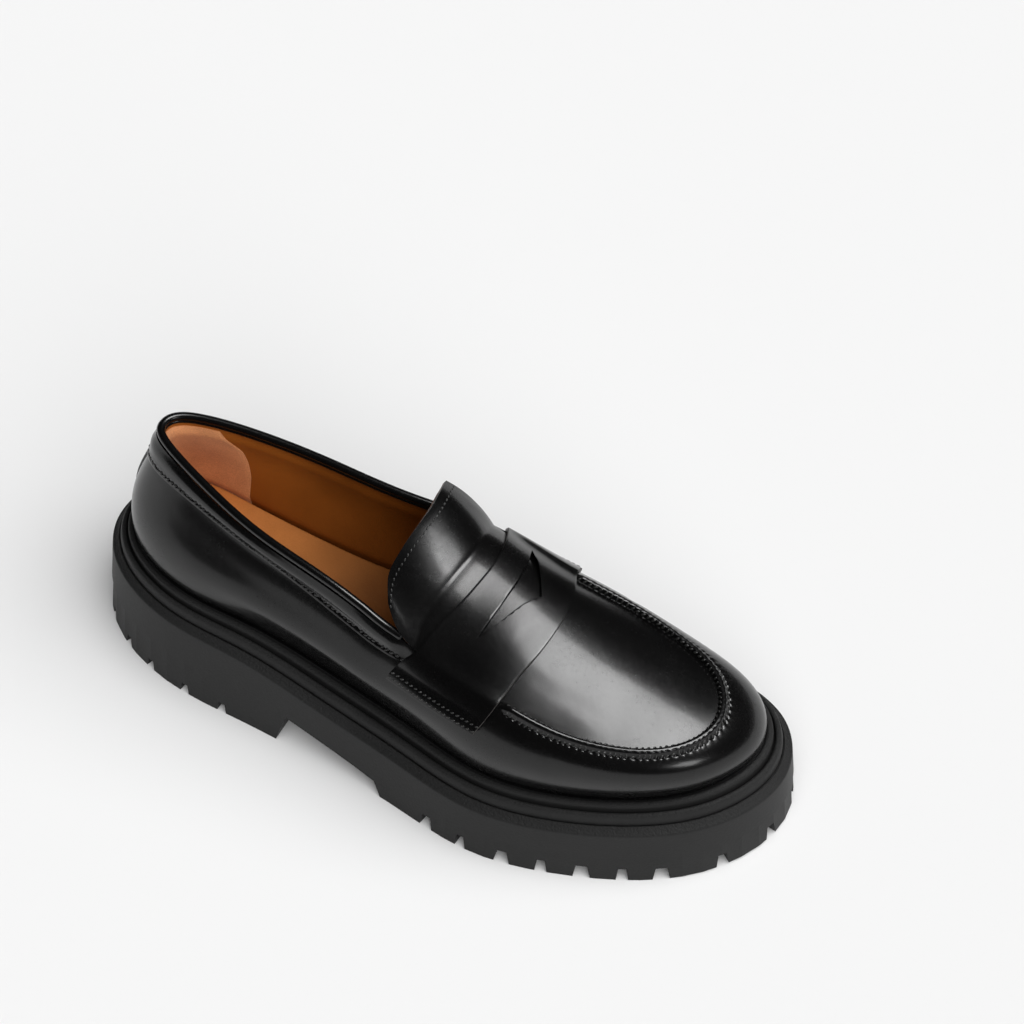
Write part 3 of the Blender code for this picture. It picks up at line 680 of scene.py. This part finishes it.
seam_station, seam_length = even(top, THROAT, COUNT - THROAT, SEAM_STEP)
raised = ease((from_heel(seam_station) - RIDGE_START) / RIDGE_FADE)
rows = []
for distance in OUTER_ROWS:
    base = wall(seam_station, near_top(seam_station, wall_top(seam_station) * distance / SEAM_BORDER))
    lip = SEAM_RIDGE * ease((LIP_FOOT - distance) / (LIP_FOOT - LIP_HALF))
    beside = ease((distance - 1.6) / 0.8) * ease((SEAM_BORDER - distance) / 3.0)
    gather = GATHER * (pucker(seam_length + STITCH / 2) - GATHER_LEVEL) * beside
    rise = lip - pulled(seam_length, distance, OUTER_PULL) + gather
    rows.append(base + UP * (rise * raised)[:, None])
for distance in INNER_ROWS:
    lip = SEAM_RIDGE * ease((SEAM_FOOT - distance) / (SEAM_FOOT - LIP_HALF))
    rise = lip - pulled(seam_length + INNER_SHIFT, distance, INNER_PULL)
    rows.append(apron_ring(seam_station, distance) + UP * (rise * raised)[:, None])
seam_shape = np.array(rows)
seam = laid("apron_seam", seam_shape, leather)
use(seam, "SOLIDIFY", thickness=LEATHER * MM, offset=-1.0)
done(seam, "leather", "upper", angle=60.0)
print("the seam is", round(float(seam_length[-1])), "mm long")

# %% [markdown]
# ## Apron and tongue
# Inside the seam the apron stands slightly domed, and it runs back as one piece into the tongue,
# which flares up off the instep and ends in a cut edge. It is one sheet here too, so that a highlight
# runs over it unbroken, and the rim of the sheet gets the finish of cut leather.

# %% Apron and tongue
APRON_FORMS = (
    # station, across, half length in stations, half width, depth in mm
    (4.35, 0.15, 0.45, 0.16, -0.5),
    (4.75, 0.82, 0.5, 0.18, -0.5),
    (7.4, 0.72, 0.9, 0.22, -0.35),
    (6.9, 0.45, 0.7, 0.20, 0.25),
    (8.0, 0.35, 0.6, 0.20, 0.2),
)
TOE_FADE, SIDE_FADE = 0.4, 0.12
FREE_START, FREE_FADE, FREE_DEPTH = 4.9, 0.4, 0.6


def apron_shape(columns, rows):
    """The apron's surface with its listed forms."""
    station, across = np.meshgrid(np.linspace(TONGUE_END, TOE_CORNER, columns), np.linspace(0.0, 1.0, rows))
    relief = np.zeros(station.shape)
    for place, middle, length, wide, depth in APRON_FORMS:
        relief += depth * hill(station, place, length) * hill(across, middle, wide)
    between_seams = ease(across / SIDE_FADE) * ease((1 - across) / SIDE_FADE)
    sewn_down = ease((TOE_CORNER - station) / TOE_FADE) * between_seams
    free = FREE_DEPTH * ease((FREE_START - station) / FREE_FADE)
    return lifted(apron(station, across), relief * np.maximum(sewn_down, free))


tongue_shape = apron_shape(columns=150, rows=97)
tongue = laid("apron_and_tongue", tongue_shape, leather)
tongue.data.materials.append(edge_leather.material)
use(tongue, "SOLIDIFY", thickness=LEATHER * MM, offset=-1.0, material_offset_rim=1)
done(tongue, "leather", "upper")

# %% [markdown]
# ## Lining and heel pad
# Tan calf lines the whole upper and is turned in under the binding. It could follow the leather, but
# then every hollow of the quarters would show inside. So it follows the plain wall, a little further
# in, and closes on the leather only at its foot and its top. At the heel a suede pad is sewn over it,
# which holds the heel; its front edges curve down to the insole.

# %% Lining
LINING_LEATHER, GLUE = 0.6, 0.05
LINING_IN, LINING_TURN = 1.75, 0.12


def lining_depth(height):
    """How far the lining lies behind the wall's outer face."""
    inner_part = (1 - ease((height - 1 + LINING_TURN) / LINING_TURN)) * ease(height / FOOT_FADE)
    return LEATHER + GLUE + LINING_IN * inner_part


station, height = wall_grid(columns=321, rows=30)
inner_wall = lifted(wall(station, height), -lining_depth(height), closed=True)
wall_lining = laid("wall_lining", inner_wall, lining, closed=True)
use(wall_lining, "SOLIDIFY", thickness=LINING_LEATHER * MM, offset=-1.0)
done(wall_lining, "lining")
tongue_lining = laid("tongue_lining", lifted(apron_shape(columns=100, rows=65), -LEATHER - GLUE), lining)
use(tongue_lining, "SOLIDIFY", thickness=LINING_LEATHER * MM, offset=-1.0)
done(tongue_lining, "lining")

# %% Heel pad
# The pad's front edge, as stations from the heel's middle and heights on the wall
PAD_FRONT = np.array([(2.02, 0.0), (2.0, 0.34), (1.95, 0.54), (1.88, 0.72), (1.74, 0.84), (1.6, 0.97)])
PAD_THICK, PAD_EDGE, PAD_EDGE_FADE = 0.55, 0.25, 0.05
height = np.linspace(0.0, PAD_FRONT[-1, 1], 34)[:, None]
reach = np.interp(height, PAD_FRONT[:, 1], PAD_FRONT[:, 0])
station = np.linspace(-1.0, 1.0, 121)[None, :] * reach
skived = PAD_EDGE * (1 - ease((reach - np.abs(station)) / PAD_EDGE_FADE))
pad = laid("heel_pad", lifted(wall(station, height), skived - lining_depth(height) - LINING_LEATHER), suede)
use(pad, "SOLIDIFY", thickness=PAD_THICK * MM, offset=-1.0)
done(pad, "lining")

# %% [markdown]
# ## Collar band
# Under the top edge a band of leather is sewn on with one heavy row of stitches. It is a little padded,
# so it rolls between the stitches and the edge. A plain strip with a bump would stay flat at its
# outline, so the band's rows are raised and drawn in themselves. Its ends sink under the strap.

# %% Collar band
# The heights of the band's lower edge on the wall, evenly spaced from the heel to the throat
COLLAR_LOW = (0.74, 0.78, 0.84, 0.84, 0.77, 0.77)
COLLAR_END, COLLAR_STEP, BAND_THICK, BAND_GAP = 5.06, 0.5, 0.9, 0.1
# The band's rows, closer together near the stitches, and the row that the stitches follow
BAND_ROWS = np.concatenate([np.linspace(0.0, 3.2, 9), np.linspace(4.2, 14.0, 10)])
COLLAR_STITCH_ROW = 4
BAND_PADDING, BAND_EDGE, BAND_SUNK = 0.9, 0.25, 0.85
COLLAR_PULL, COLLAR_GROOVE = (0.75, 1.5, 0.6), (0.35, 1.5, 0.5)


def band_low(station):
    """The height of the band's lower edge on the wall."""
    return open_curve(COLLAR_LOW, from_heel(station) / THROAT)[..., 0]


band_station, band_length = even(lambda s: quarter(s, band_low(s)), -COLLAR_END, COLLAR_END, COLLAR_STEP)
low = band_low(band_station)
tall = np.linalg.norm(quarter(band_station, low) - quarter(band_station, 1.0), axis=-1)
up = BAND_ROWS[:, None] / BAND_ROWS[-1] * tall[None, :]
level = low + (1 - low) * np.clip(up / tall, 0.0, 1.0)
bold = 0.55 + 0.45 * ease((from_heel(band_station) - 1.2) / 1.5)
edge = ease(up / 0.7)
padding = BAND_PADDING * hill(up, 0.62 * tall, 0.3 * tall)
depth, place, half_width = COLLAR_GROOVE
pull = bold * (pulled(band_length, up, COLLAR_PULL) + depth * hill(up, place, half_width))
under_strap = ease((from_heel(band_station) - 4.72) / 0.2)
free_lift = BAND_GAP + BAND_EDGE * (edge - 1) + padding - pull * edge
lift = free_lift * (1 - under_strap) - BAND_SUNK * under_strap
band_shape = lifted(quarter(band_station, level), lift)
band = laid("collar_band_leather", band_shape, leather)
use(band, "SOLIDIFY", thickness=BAND_THICK * MM, offset=1.0)
done(band, "leather", "collar_band")

# %% [markdown]
# ## Binding of the top edge
# Over the edge goes the binding, a narrow strip rolled round a cord. A bevelled curve would do for an
# even cord. Here a grid is rolled into a tube, so that its ends can close to a round tip and sink
# under the tongue. A thinner roll inside it is the strip's other edge, turned in over the lining.

# %% Binding
BINDING_END, BINDING_STEP, BINDING_SINK = 4.86, 1.0, 1.6
INNER_EDGE_IN, INNER_EDGE_DOWN, INNER_EDGE_RADIUS = 0.9, 1.5, 0.95


def tube(name, centres, radius, finish, around):
    """A round cord along a row of centres, with closed round ends."""
    forward = one_long(np.gradient(centres, axis=0))
    across = one_long(np.cross(forward, UP))
    upright = np.cross(across, forward)
    length = along(centres)
    near_end = np.minimum(length, length[-1] - length) / radius
    size = radius * np.sqrt(np.clip(1 - (1 - np.clip(near_end, 0.0, 1.0)) ** 2, 0.0, 1.0))
    turn = np.linspace(0.0, 2 * math.pi, around + 1)[:, None, None]
    rim = centres + size[None, :, None] * (across * np.cos(turn) + upright * np.sin(turn))
    return laid(name, rim, finish, closed=True)


binding_station = even(top, -BINDING_END, BINDING_END, BINDING_STEP)[0]
inward = -outward(binding_station, "top_x", "top_y")
line = top(binding_station) + inward * BINDING_INSET + UP * (BINDING_RADIUS + BINDING_LIFT)
line = line - UP * (BINDING_SINK * ease((from_heel(binding_station) - 4.3) / 0.5))[:, None]
binding = tube("collar_roll", line, BINDING_RADIUS, leather, around=18)
done(binding, "leather", "collar_binding", angle=80.0)
inner_line = line + inward * INNER_EDGE_IN - UP * INNER_EDGE_DOWN
inner_edge = tube("binding_edge", inner_line, INNER_EDGE_RADIUS, leather, around=10)
done(inner_edge, "leather", angle=80.0)

# %% [markdown]
# ## Heel strip
# A narrow strip covers the back seam, from the collar band down to the welt. A box bent round the heel
# would have hard edges. Here a small grid follows the wall, and its long edges are rounded down to
# the leather, as on a skived strip.

# %% Heel strip
STRIP_TOP, STRIP_HALF, STRIP_FLARE, STRIP_WAIST = 0.735, 0.165, 0.02, 0.4
STRIP_FOOT, STRIP_RISE, STRIP_FLAT, STRIP_THICK = 0.12, 0.75, 0.8, 0.5
level = np.linspace(0.0, STRIP_TOP, 60)[:, None]
place = np.linspace(-1.0, 1.0, 19)[None, :]
station = place * (STRIP_HALF + STRIP_FLARE * (level - STRIP_WAIST) ** 2)
rounding = np.sqrt(1 - np.clip((np.abs(place) - STRIP_FLAT) / (1 - STRIP_FLAT), 0, 1) ** 2)
lift = STRIP_FOOT + STRIP_RISE * rounding - STRIP_THICK
strip = laid("heel_strip_leather", lifted(quarter(station, level), lift), leather)
use(strip, "SOLIDIFY", thickness=STRIP_THICK * MM, offset=1.0)
done(strip, "leather", "heel_strip")

# %% [markdown]
# ## Saddle strap
# The strap is one stout piece laid over the instep after the seam is sewn. It lies flat on the apron,
# bends over the seam and ends on the wall with a stitched lower edge. Its opening is the outline of a
# slit that opens to a point. It could be drawn into the grid, but its slanting edges wouldn't follow
# the grid's lines, so it is punched out of the finished strap, as the maker does.

# %% Saddle strap
# The strap's back and front edge, as stations, evenly spaced from its outer to its inner end
STRAP = ((4.82, 5.98), (4.87, 6.03), (4.93, 6.07), (4.99, 6.11), (5.07, 6.14), (5.20, 6.18), (5.23, 6.19),
         (5.23, 6.21), (5.18, 6.22), (5.14, 6.19), (5.09, 6.16), (5.05, 6.11), (5.00, 6.06))
STRAP_FOOT, STRAP_GAP, STRAP_THICK, WALL_SHARE = 0.60, 0.35, 1.5, 1 / 3
OUTER_END_LIFT, INNER_END_LIFT, END_SHARE = 1.4, 0.2, 0.15
SMOOTHINGS = 5
# The opening's outline from above, and the height and depth of the punch
SLOT = ((170.6, -20.5), (172.4, -6.0), (173.0, 7.0), (171.6, 19.0), (168.6, 27.5), (174.0, 22.0),
        (179.0, 14.5), (183.6, 6.6), (179.6, 0.0), (175.2, -12.0))
PUNCH_FOOT, PUNCH_TALL, STRAP_BEVEL = 60.0, 50.0, 0.3


def hoop(station, across):
    """A line over the instep: up the outer wall, over the apron and down the inner wall."""
    climb = np.clip(across / WALL_SHARE, 0.0, 1.0)
    fall = np.clip((1 - across) / WALL_SHARE, 0.0, 1.0)
    lateral = wall(station, STRAP_FOOT + (1 - STRAP_FOOT) * climb)
    medial = wall(-station, STRAP_FOOT + (1 - STRAP_FOOT) * fall)
    middle = apron(station, np.clip((across - WALL_SHARE) / (1 - 2 * WALL_SHARE), 0.0, 1.0))
    outer_part = np.where((across < WALL_SHARE)[..., None], lateral, middle)
    return np.where((across > 1 - WALL_SHARE)[..., None], medial, outer_part)


across = np.linspace(0.0, 1.0, 121)
share = np.linspace(0.0, 1.0, 41)[None, :]
ends = open_curve(STRAP, across)
station = ends[:, :1] + (ends[:, 1:] - ends[:, :1]) * share
draped = hoop(station, np.broadcast_to(across[:, None], station.shape))
for smoothing in range(SMOOTHINGS):
    draped[1:-1] = (draped[:-2] + 2 * draped[1:-1] + draped[2:]) / 4
outer_end, inner_end = 1 - ease(across / END_SHARE), 1 - ease((1 - across) / END_SHARE)
end_lift = (OUTER_END_LIFT * outer_end + INNER_END_LIFT * inner_end)[:, None]
strap_shape = lifted(draped, STRAP_GAP + end_lift)
strap = laid("saddle_strap_leather", strap_shape, leather)
strap.data.materials.append(edge_leather.material)
use(strap, "SOLIDIFY", thickness=STRAP_THICK * MM, offset=1.0, use_even_offset=True, material_offset_rim=1)
print("the strap is draped, before its opening is cut")

# %% The opening of the strap
bpy.ops.object.select_all(action="DESELECT")
bpy.ops.mesh.primitive_circle_add(vertices=len(SLOT), radius=0.01, fill_type="NGON")
punch = bpy.context.object
for corner, (x, y) in zip(punch.data.vertices, SLOT):
    corner.co = world((x, y, PUNCH_FOOT))
bpy.ops.object.mode_set(mode="EDIT")
bpy.ops.mesh.select_all(action="SELECT")
bpy.ops.mesh.extrude_region_move(TRANSFORM_OT_translate={"value": (0.0, 0.0, PUNCH_TALL * MM)})
bpy.ops.mesh.select_all(action="SELECT")
bpy.ops.mesh.normals_make_consistent(inside=False)
bpy.ops.object.mode_set(mode="OBJECT")
use(strap, "BOOLEAN", operation="DIFFERENCE", solver="EXACT", object=punch)
bpy.data.objects.remove(punch, do_unlink=True)
use(strap, "BEVEL", width=STRAP_BEVEL * MM, segments=2, limit_method="ANGLE", angle_limit=math.radians(50))
done(strap, "leather", "saddle_strap")

# %% [markdown]
# ## Stitches
# A stitch is a short length of waxed thread, half sunk in the leather. One is modelled as a low ball
# drawn out, and copies are set along every sewn line, each turned with its line. A thread that runs
# through the leather would be truer, but only its outer lengths are ever seen.

# %% Stitches
bpy.ops.object.select_all(action="DESELECT")
bpy.ops.mesh.primitive_uv_sphere_add(segments=8, ring_count=5, radius=1.0)
bead = bpy.context.object
BEAD = np.array([tuple(corner.co) for corner in bead.data.vertices])
BEAD_FACES = [tuple(face.vertices) for face in bead.data.polygons]
bpy.data.objects.remove(bead, do_unlink=True)


def stitches(name, places, directions, facing, length, radius):
    """Copies of one stitch at places, each along its direction and half sunk in the leather."""
    directions = one_long(directions)
    aside = one_long(np.cross(facing, directions))
    points = (places[:, None] + BEAD[None, :, :1] * directions[:, None] * length / 2
              + BEAD[None, :, 1:2] * aside[:, None] * radius + BEAD[None, :, 2:] * facing[:, None] * radius)
    faces = [tuple(index + len(BEAD) * copy for index in face)
             for copy in range(len(places)) for face in BEAD_FACES]
    mesh = bpy.data.meshes.new(name)
    mesh.from_pydata(((points.reshape(-1, 3) - MIDDLE) * MM).tolist(), [], faces)
    mesh.materials.append(thread.material)
    piece = bpy.data.objects.new(name, mesh)
    bpy.context.scene.collection.objects.link(piece)
    done(piece, "leather", angle=80.0)


def sewn(name, line, facing, pitch, radius, slant=0.0, sink=0.0, fill=0.72):
    """A row of stitches along a line of points, with the direction that the leather faces there."""
    length = along(line)
    distance = np.arange(pitch / 2, length[-1], pitch)

    def at_stitches(rows):
        return np.stack([np.interp(distance, length, column) for column in rows.T], axis=-1)

    out = one_long(at_stitches(facing))
    ahead = one_long(at_stitches(np.gradient(line, axis=0)))
    direction = ahead + slant * np.cross(out, ahead)
    stitches(name, at_stitches(line) - out * sink, direction, out, pitch * fill, radius)


print("one stitch has", len(BEAD_FACES), "faces")

# %% Rows of stitches
# Each row follows a row or a column of its piece's grid
SEAM_STITCH_ROWS = {"seam_stitches_outer": OUTER_ROWS.index(1.75),
                    "seam_stitches_inner": len(OUTER_ROWS) + INNER_ROWS.index(1.35)}
STRAP_STITCH_ROWS = {"strap_stitches_outer": 8, "strap_stitches_outer_low": 3,
                     "strap_stitches_inner": 112, "strap_stitches_inner_low": 117}
TONGUE_STITCH_COLUMN = 5

facing = normals(seam_shape)
shown = from_heel(seam_station) > RIDGE_START + 0.12
for name, row in SEAM_STITCH_ROWS.items():
    sewn(name, seam_shape[row][shown], facing[row][shown], STITCH, radius=0.50, slant=1.3, fill=0.85)

facing = normals(band_shape)
collar_line = (band_shape + facing * BAND_THICK)[COLLAR_STITCH_ROW]
sewn("collar_stitches", collar_line, facing[COLLAR_STITCH_ROW], STITCH,
     radius=0.48, slant=0.35, sink=-0.02, fill=0.8)

facing = normals(strap_shape)
for name, row in STRAP_STITCH_ROWS.items():
    sewn(name, (strap_shape + facing * STRAP_THICK)[row], facing[row], pitch=2.2, radius=0.38, slant=0.4)

facing = normals(tongue_shape)[2:-2, TONGUE_STITCH_COLUMN]
sewn("tongue_stitches", tongue_shape[2:-2, TONGUE_STITCH_COLUMN], facing, pitch=2.1, radius=0.36, slant=0.3)

# %% [markdown]
# ## Ribbed welt
# The welt is moulded: two ribs run round under the upper, with a deep groove between them. Two bent
# tubes would leave gaps at the upper and the sole. So one profile, a smooth curve through the points
# below, is carried round the whole shoe, and the sheet closes over the shoe's middle line.

# %% Ribbed welt
# How far out towards the rim of the ledge, and how far above it in mm, from the foot upwards
RIBS = ((0.66, 1.5), (0.685, 3.0), (0.675, 4.8), (0.63, 6.4), (0.57, 7.2), (0.50, 7.4), (0.435, 7.0),
        (0.405, 5.8), (0.385, 5.0), (0.365, 5.4), (0.35, 7.0), (0.34, 8.6), (0.30, 9.8), (0.23, 10.2),
        (0.15, 10.2), (0.09, 9.7), (0.06, 9.0))
stations = np.linspace(-10.0, 10.0, 401)


def inward_rows(rim, count, lift=0.0):
    """Rows from a rim to the shoe's middle line, halfway to the opposite side."""
    middle = (rim + rim[::-1]) / 2
    share = np.linspace(0.0, 1.0, count)[:, None, None]
    return rim + (middle - rim) * share + UP * lift * np.sin(share * math.pi / 2)


profile = open_curve(RIBS, np.linspace(0.0, 1.0, 70))
ribs = side(stations[None, :], profile[:, :1], profile[:, 1:])
welt_shape = np.concatenate([inward_rows(ribs[0], 6)[::-1], ribs[1:-1], inward_rows(ribs[-1], 10)])
done(laid("ribbed_welt", welt_shape, rubber, closed=True), "rubber", "welt_midsole", angle=60.0)

# %% [markdown]
# ## Upper wall and ledge of the sole
# The sole's wall is smooth above the mould's parting line, and its rim is a soft, grainy step. The
# solid has flat facets there, so a thin skin that starts at the parting line rounds them off. It is
# lifted by less than half a millimetre, so that its lower edge reads as the parting step.

# %% Upper wall and ledge
# How much wider than the ledge the sole stands, at its heel and at its toe, as x and mm
SOLE_FLARE = ((0.0, 2.4), (285.5, 1.6))
TOE_SPRING_START, TOE_SPRING_LENGTH = 250.0, 35.5
PARTING, WALL_END, WALL_DROP, SKIN_LIFT, SKIN_THICK = 0.5, 0.97, 0.7, 0.4, 0.35
# The ledge's rounded step, as the share of the way out to the rim and the rise above it in mm
LEDGE = ((1.0, -0.8), (0.995, -0.35), (0.98, -0.05), (0.955, 0.12),
         (0.93, 0.25), (0.86, 0.85), (0.79, 1.55), (0.725, 2.2))


def ground(station):
    """The sole's lower edge: wider than the ledge, and lifted a little at the toe."""
    edge = side(station, 1.0, 0.0)
    flare = np.interp(edge[..., 0], *zip(*SOLE_FLARE))
    edge = edge + outward(station) * flare[..., None]
    edge[..., 2] = ease((edge[..., 0] - TOE_SPRING_START) / TOE_SPRING_LENGTH)
    return edge


foot, rim = ground(stations), side(stations, 1.0, -WALL_DROP)
skin_rows = [foot + (rim - foot) * share for share in np.linspace(PARTING, WALL_END, 10)]
skin_rows += [side(stations, out, rise) for out, rise in LEDGE]
skin_shape = lifted(np.array(skin_rows), SKIN_LIFT, closed=True)
skin = laid("upper_wall_and_ledge", skin_shape, rubber, closed=True)
use(skin, "SOLIDIFY", thickness=SKIN_THICK * MM, offset=-1.0)
done(skin, "rubber", angle=60.0)

# %% [markdown]
# ## Insole
# The insole is a thin padded sock on the platform, with a rounded edge. A flat sheet with a bevel would
# lie too stiffly, so its rows climb the edge and then sink by half a millimetre to the middle line.

# %% Insole
INSOLE_IN, INSOLE_LOW, INSOLE_SAG = 2.8, 9.3, 0.5
# The rounded edge, as how far in and how far up from its lower corner in mm
INSOLE_EDGE = ((0.0, 0.0), (0.0, 1.4), (0.15, 2.0), (0.55, 2.45), (1.2, 2.6), (2.2, 2.6))
edge_rows = [side(stations, 0.0, INSOLE_LOW + rise) - outward(stations) * (INSOLE_IN + inset)
             for inset, rise in INSOLE_EDGE]
sock_shape = np.concatenate([inward_rows(edge_rows[0], 6)[::-1], edge_rows[1:-1],
                             inward_rows(edge_rows[-1], 14, -INSOLE_SAG)])
done(laid("padded_insole", sock_shape, sock_leather, closed=True), "lining", "insole")

# %% [markdown]
# ## Under the waist
# The underside of the waist carries a plain moulded frame and a small plain ring, both low raised
# lines. Each is a grid of four rows that is laid round a rectangle with round corners. One function
# makes both, because the ring is a square with corners so round that they meet.

# %% Moulded lines
# A point on the slope of the waist's underside, as x and z, and how steeply the slope falls forward
WAIST_X, WAIST_Z, WAIST_SLOPE = 99.5, 15.0, 0.2
# The line's rows, as how far aside of its middle and how far it stands out, in mm
RAISED_LINE = ((-0.7, -0.2), (-0.5, 0.45), (0.5, 0.45), (0.7, -0.2))
CORNER_POINTS = 9


def moulded_line(name, x, y, half_x, half_y, radius):
    """A raised line round a rectangle with round corners, on the sloping underside of the waist."""
    quarter_circle = np.linspace(0, math.pi / 2, CORNER_POINTS)
    turn = np.concatenate([quarter_circle + number * math.pi / 2 for number in range(4)] + [[0.0]])
    corner = np.repeat([(1, 1), (-1, 1), (-1, -1), (1, -1)], CORNER_POINTS, axis=0)
    corner = np.concatenate([corner, corner[:1]])
    facing = np.stack([np.cos(turn), np.sin(turn)], axis=-1)
    line = np.array((x, y)) + corner * np.array((half_x - radius, half_y - radius)) + facing * radius
    rows = []
    for aside, depth in RAISED_LINE:
        place = line + facing * aside
        rows.append(xyz(place[:, 0], place[:, 1], WAIST_Z - (place[:, 0] - WAIST_X) * WAIST_SLOPE - depth))
    done(laid(name, np.array(rows), rubber, closed=True), "rubber", angle=30.0)


moulded_line("waist_frame", x=119.0, y=-2.0, half_x=8.0, half_y=18.5, radius=1.2)
moulded_line("waist_ring", x=135.0, y=-24.0, half_x=4.0, half_y=4.0, radius=3.99)

# %% [markdown]
# ## The solid that stays
# The lugged outsole already has its final shape, cut tread and all. Modelling it again would add
# nothing, so it keeps its mesh and gets the rubber finish.

# %% Outsole
outsole = frame["nodes"]["outsole"]
outsole.data.materials.clear()
outsole.data.materials.append(rubber.material)
print("outsole", len(outsole.data.polygons), "faces")
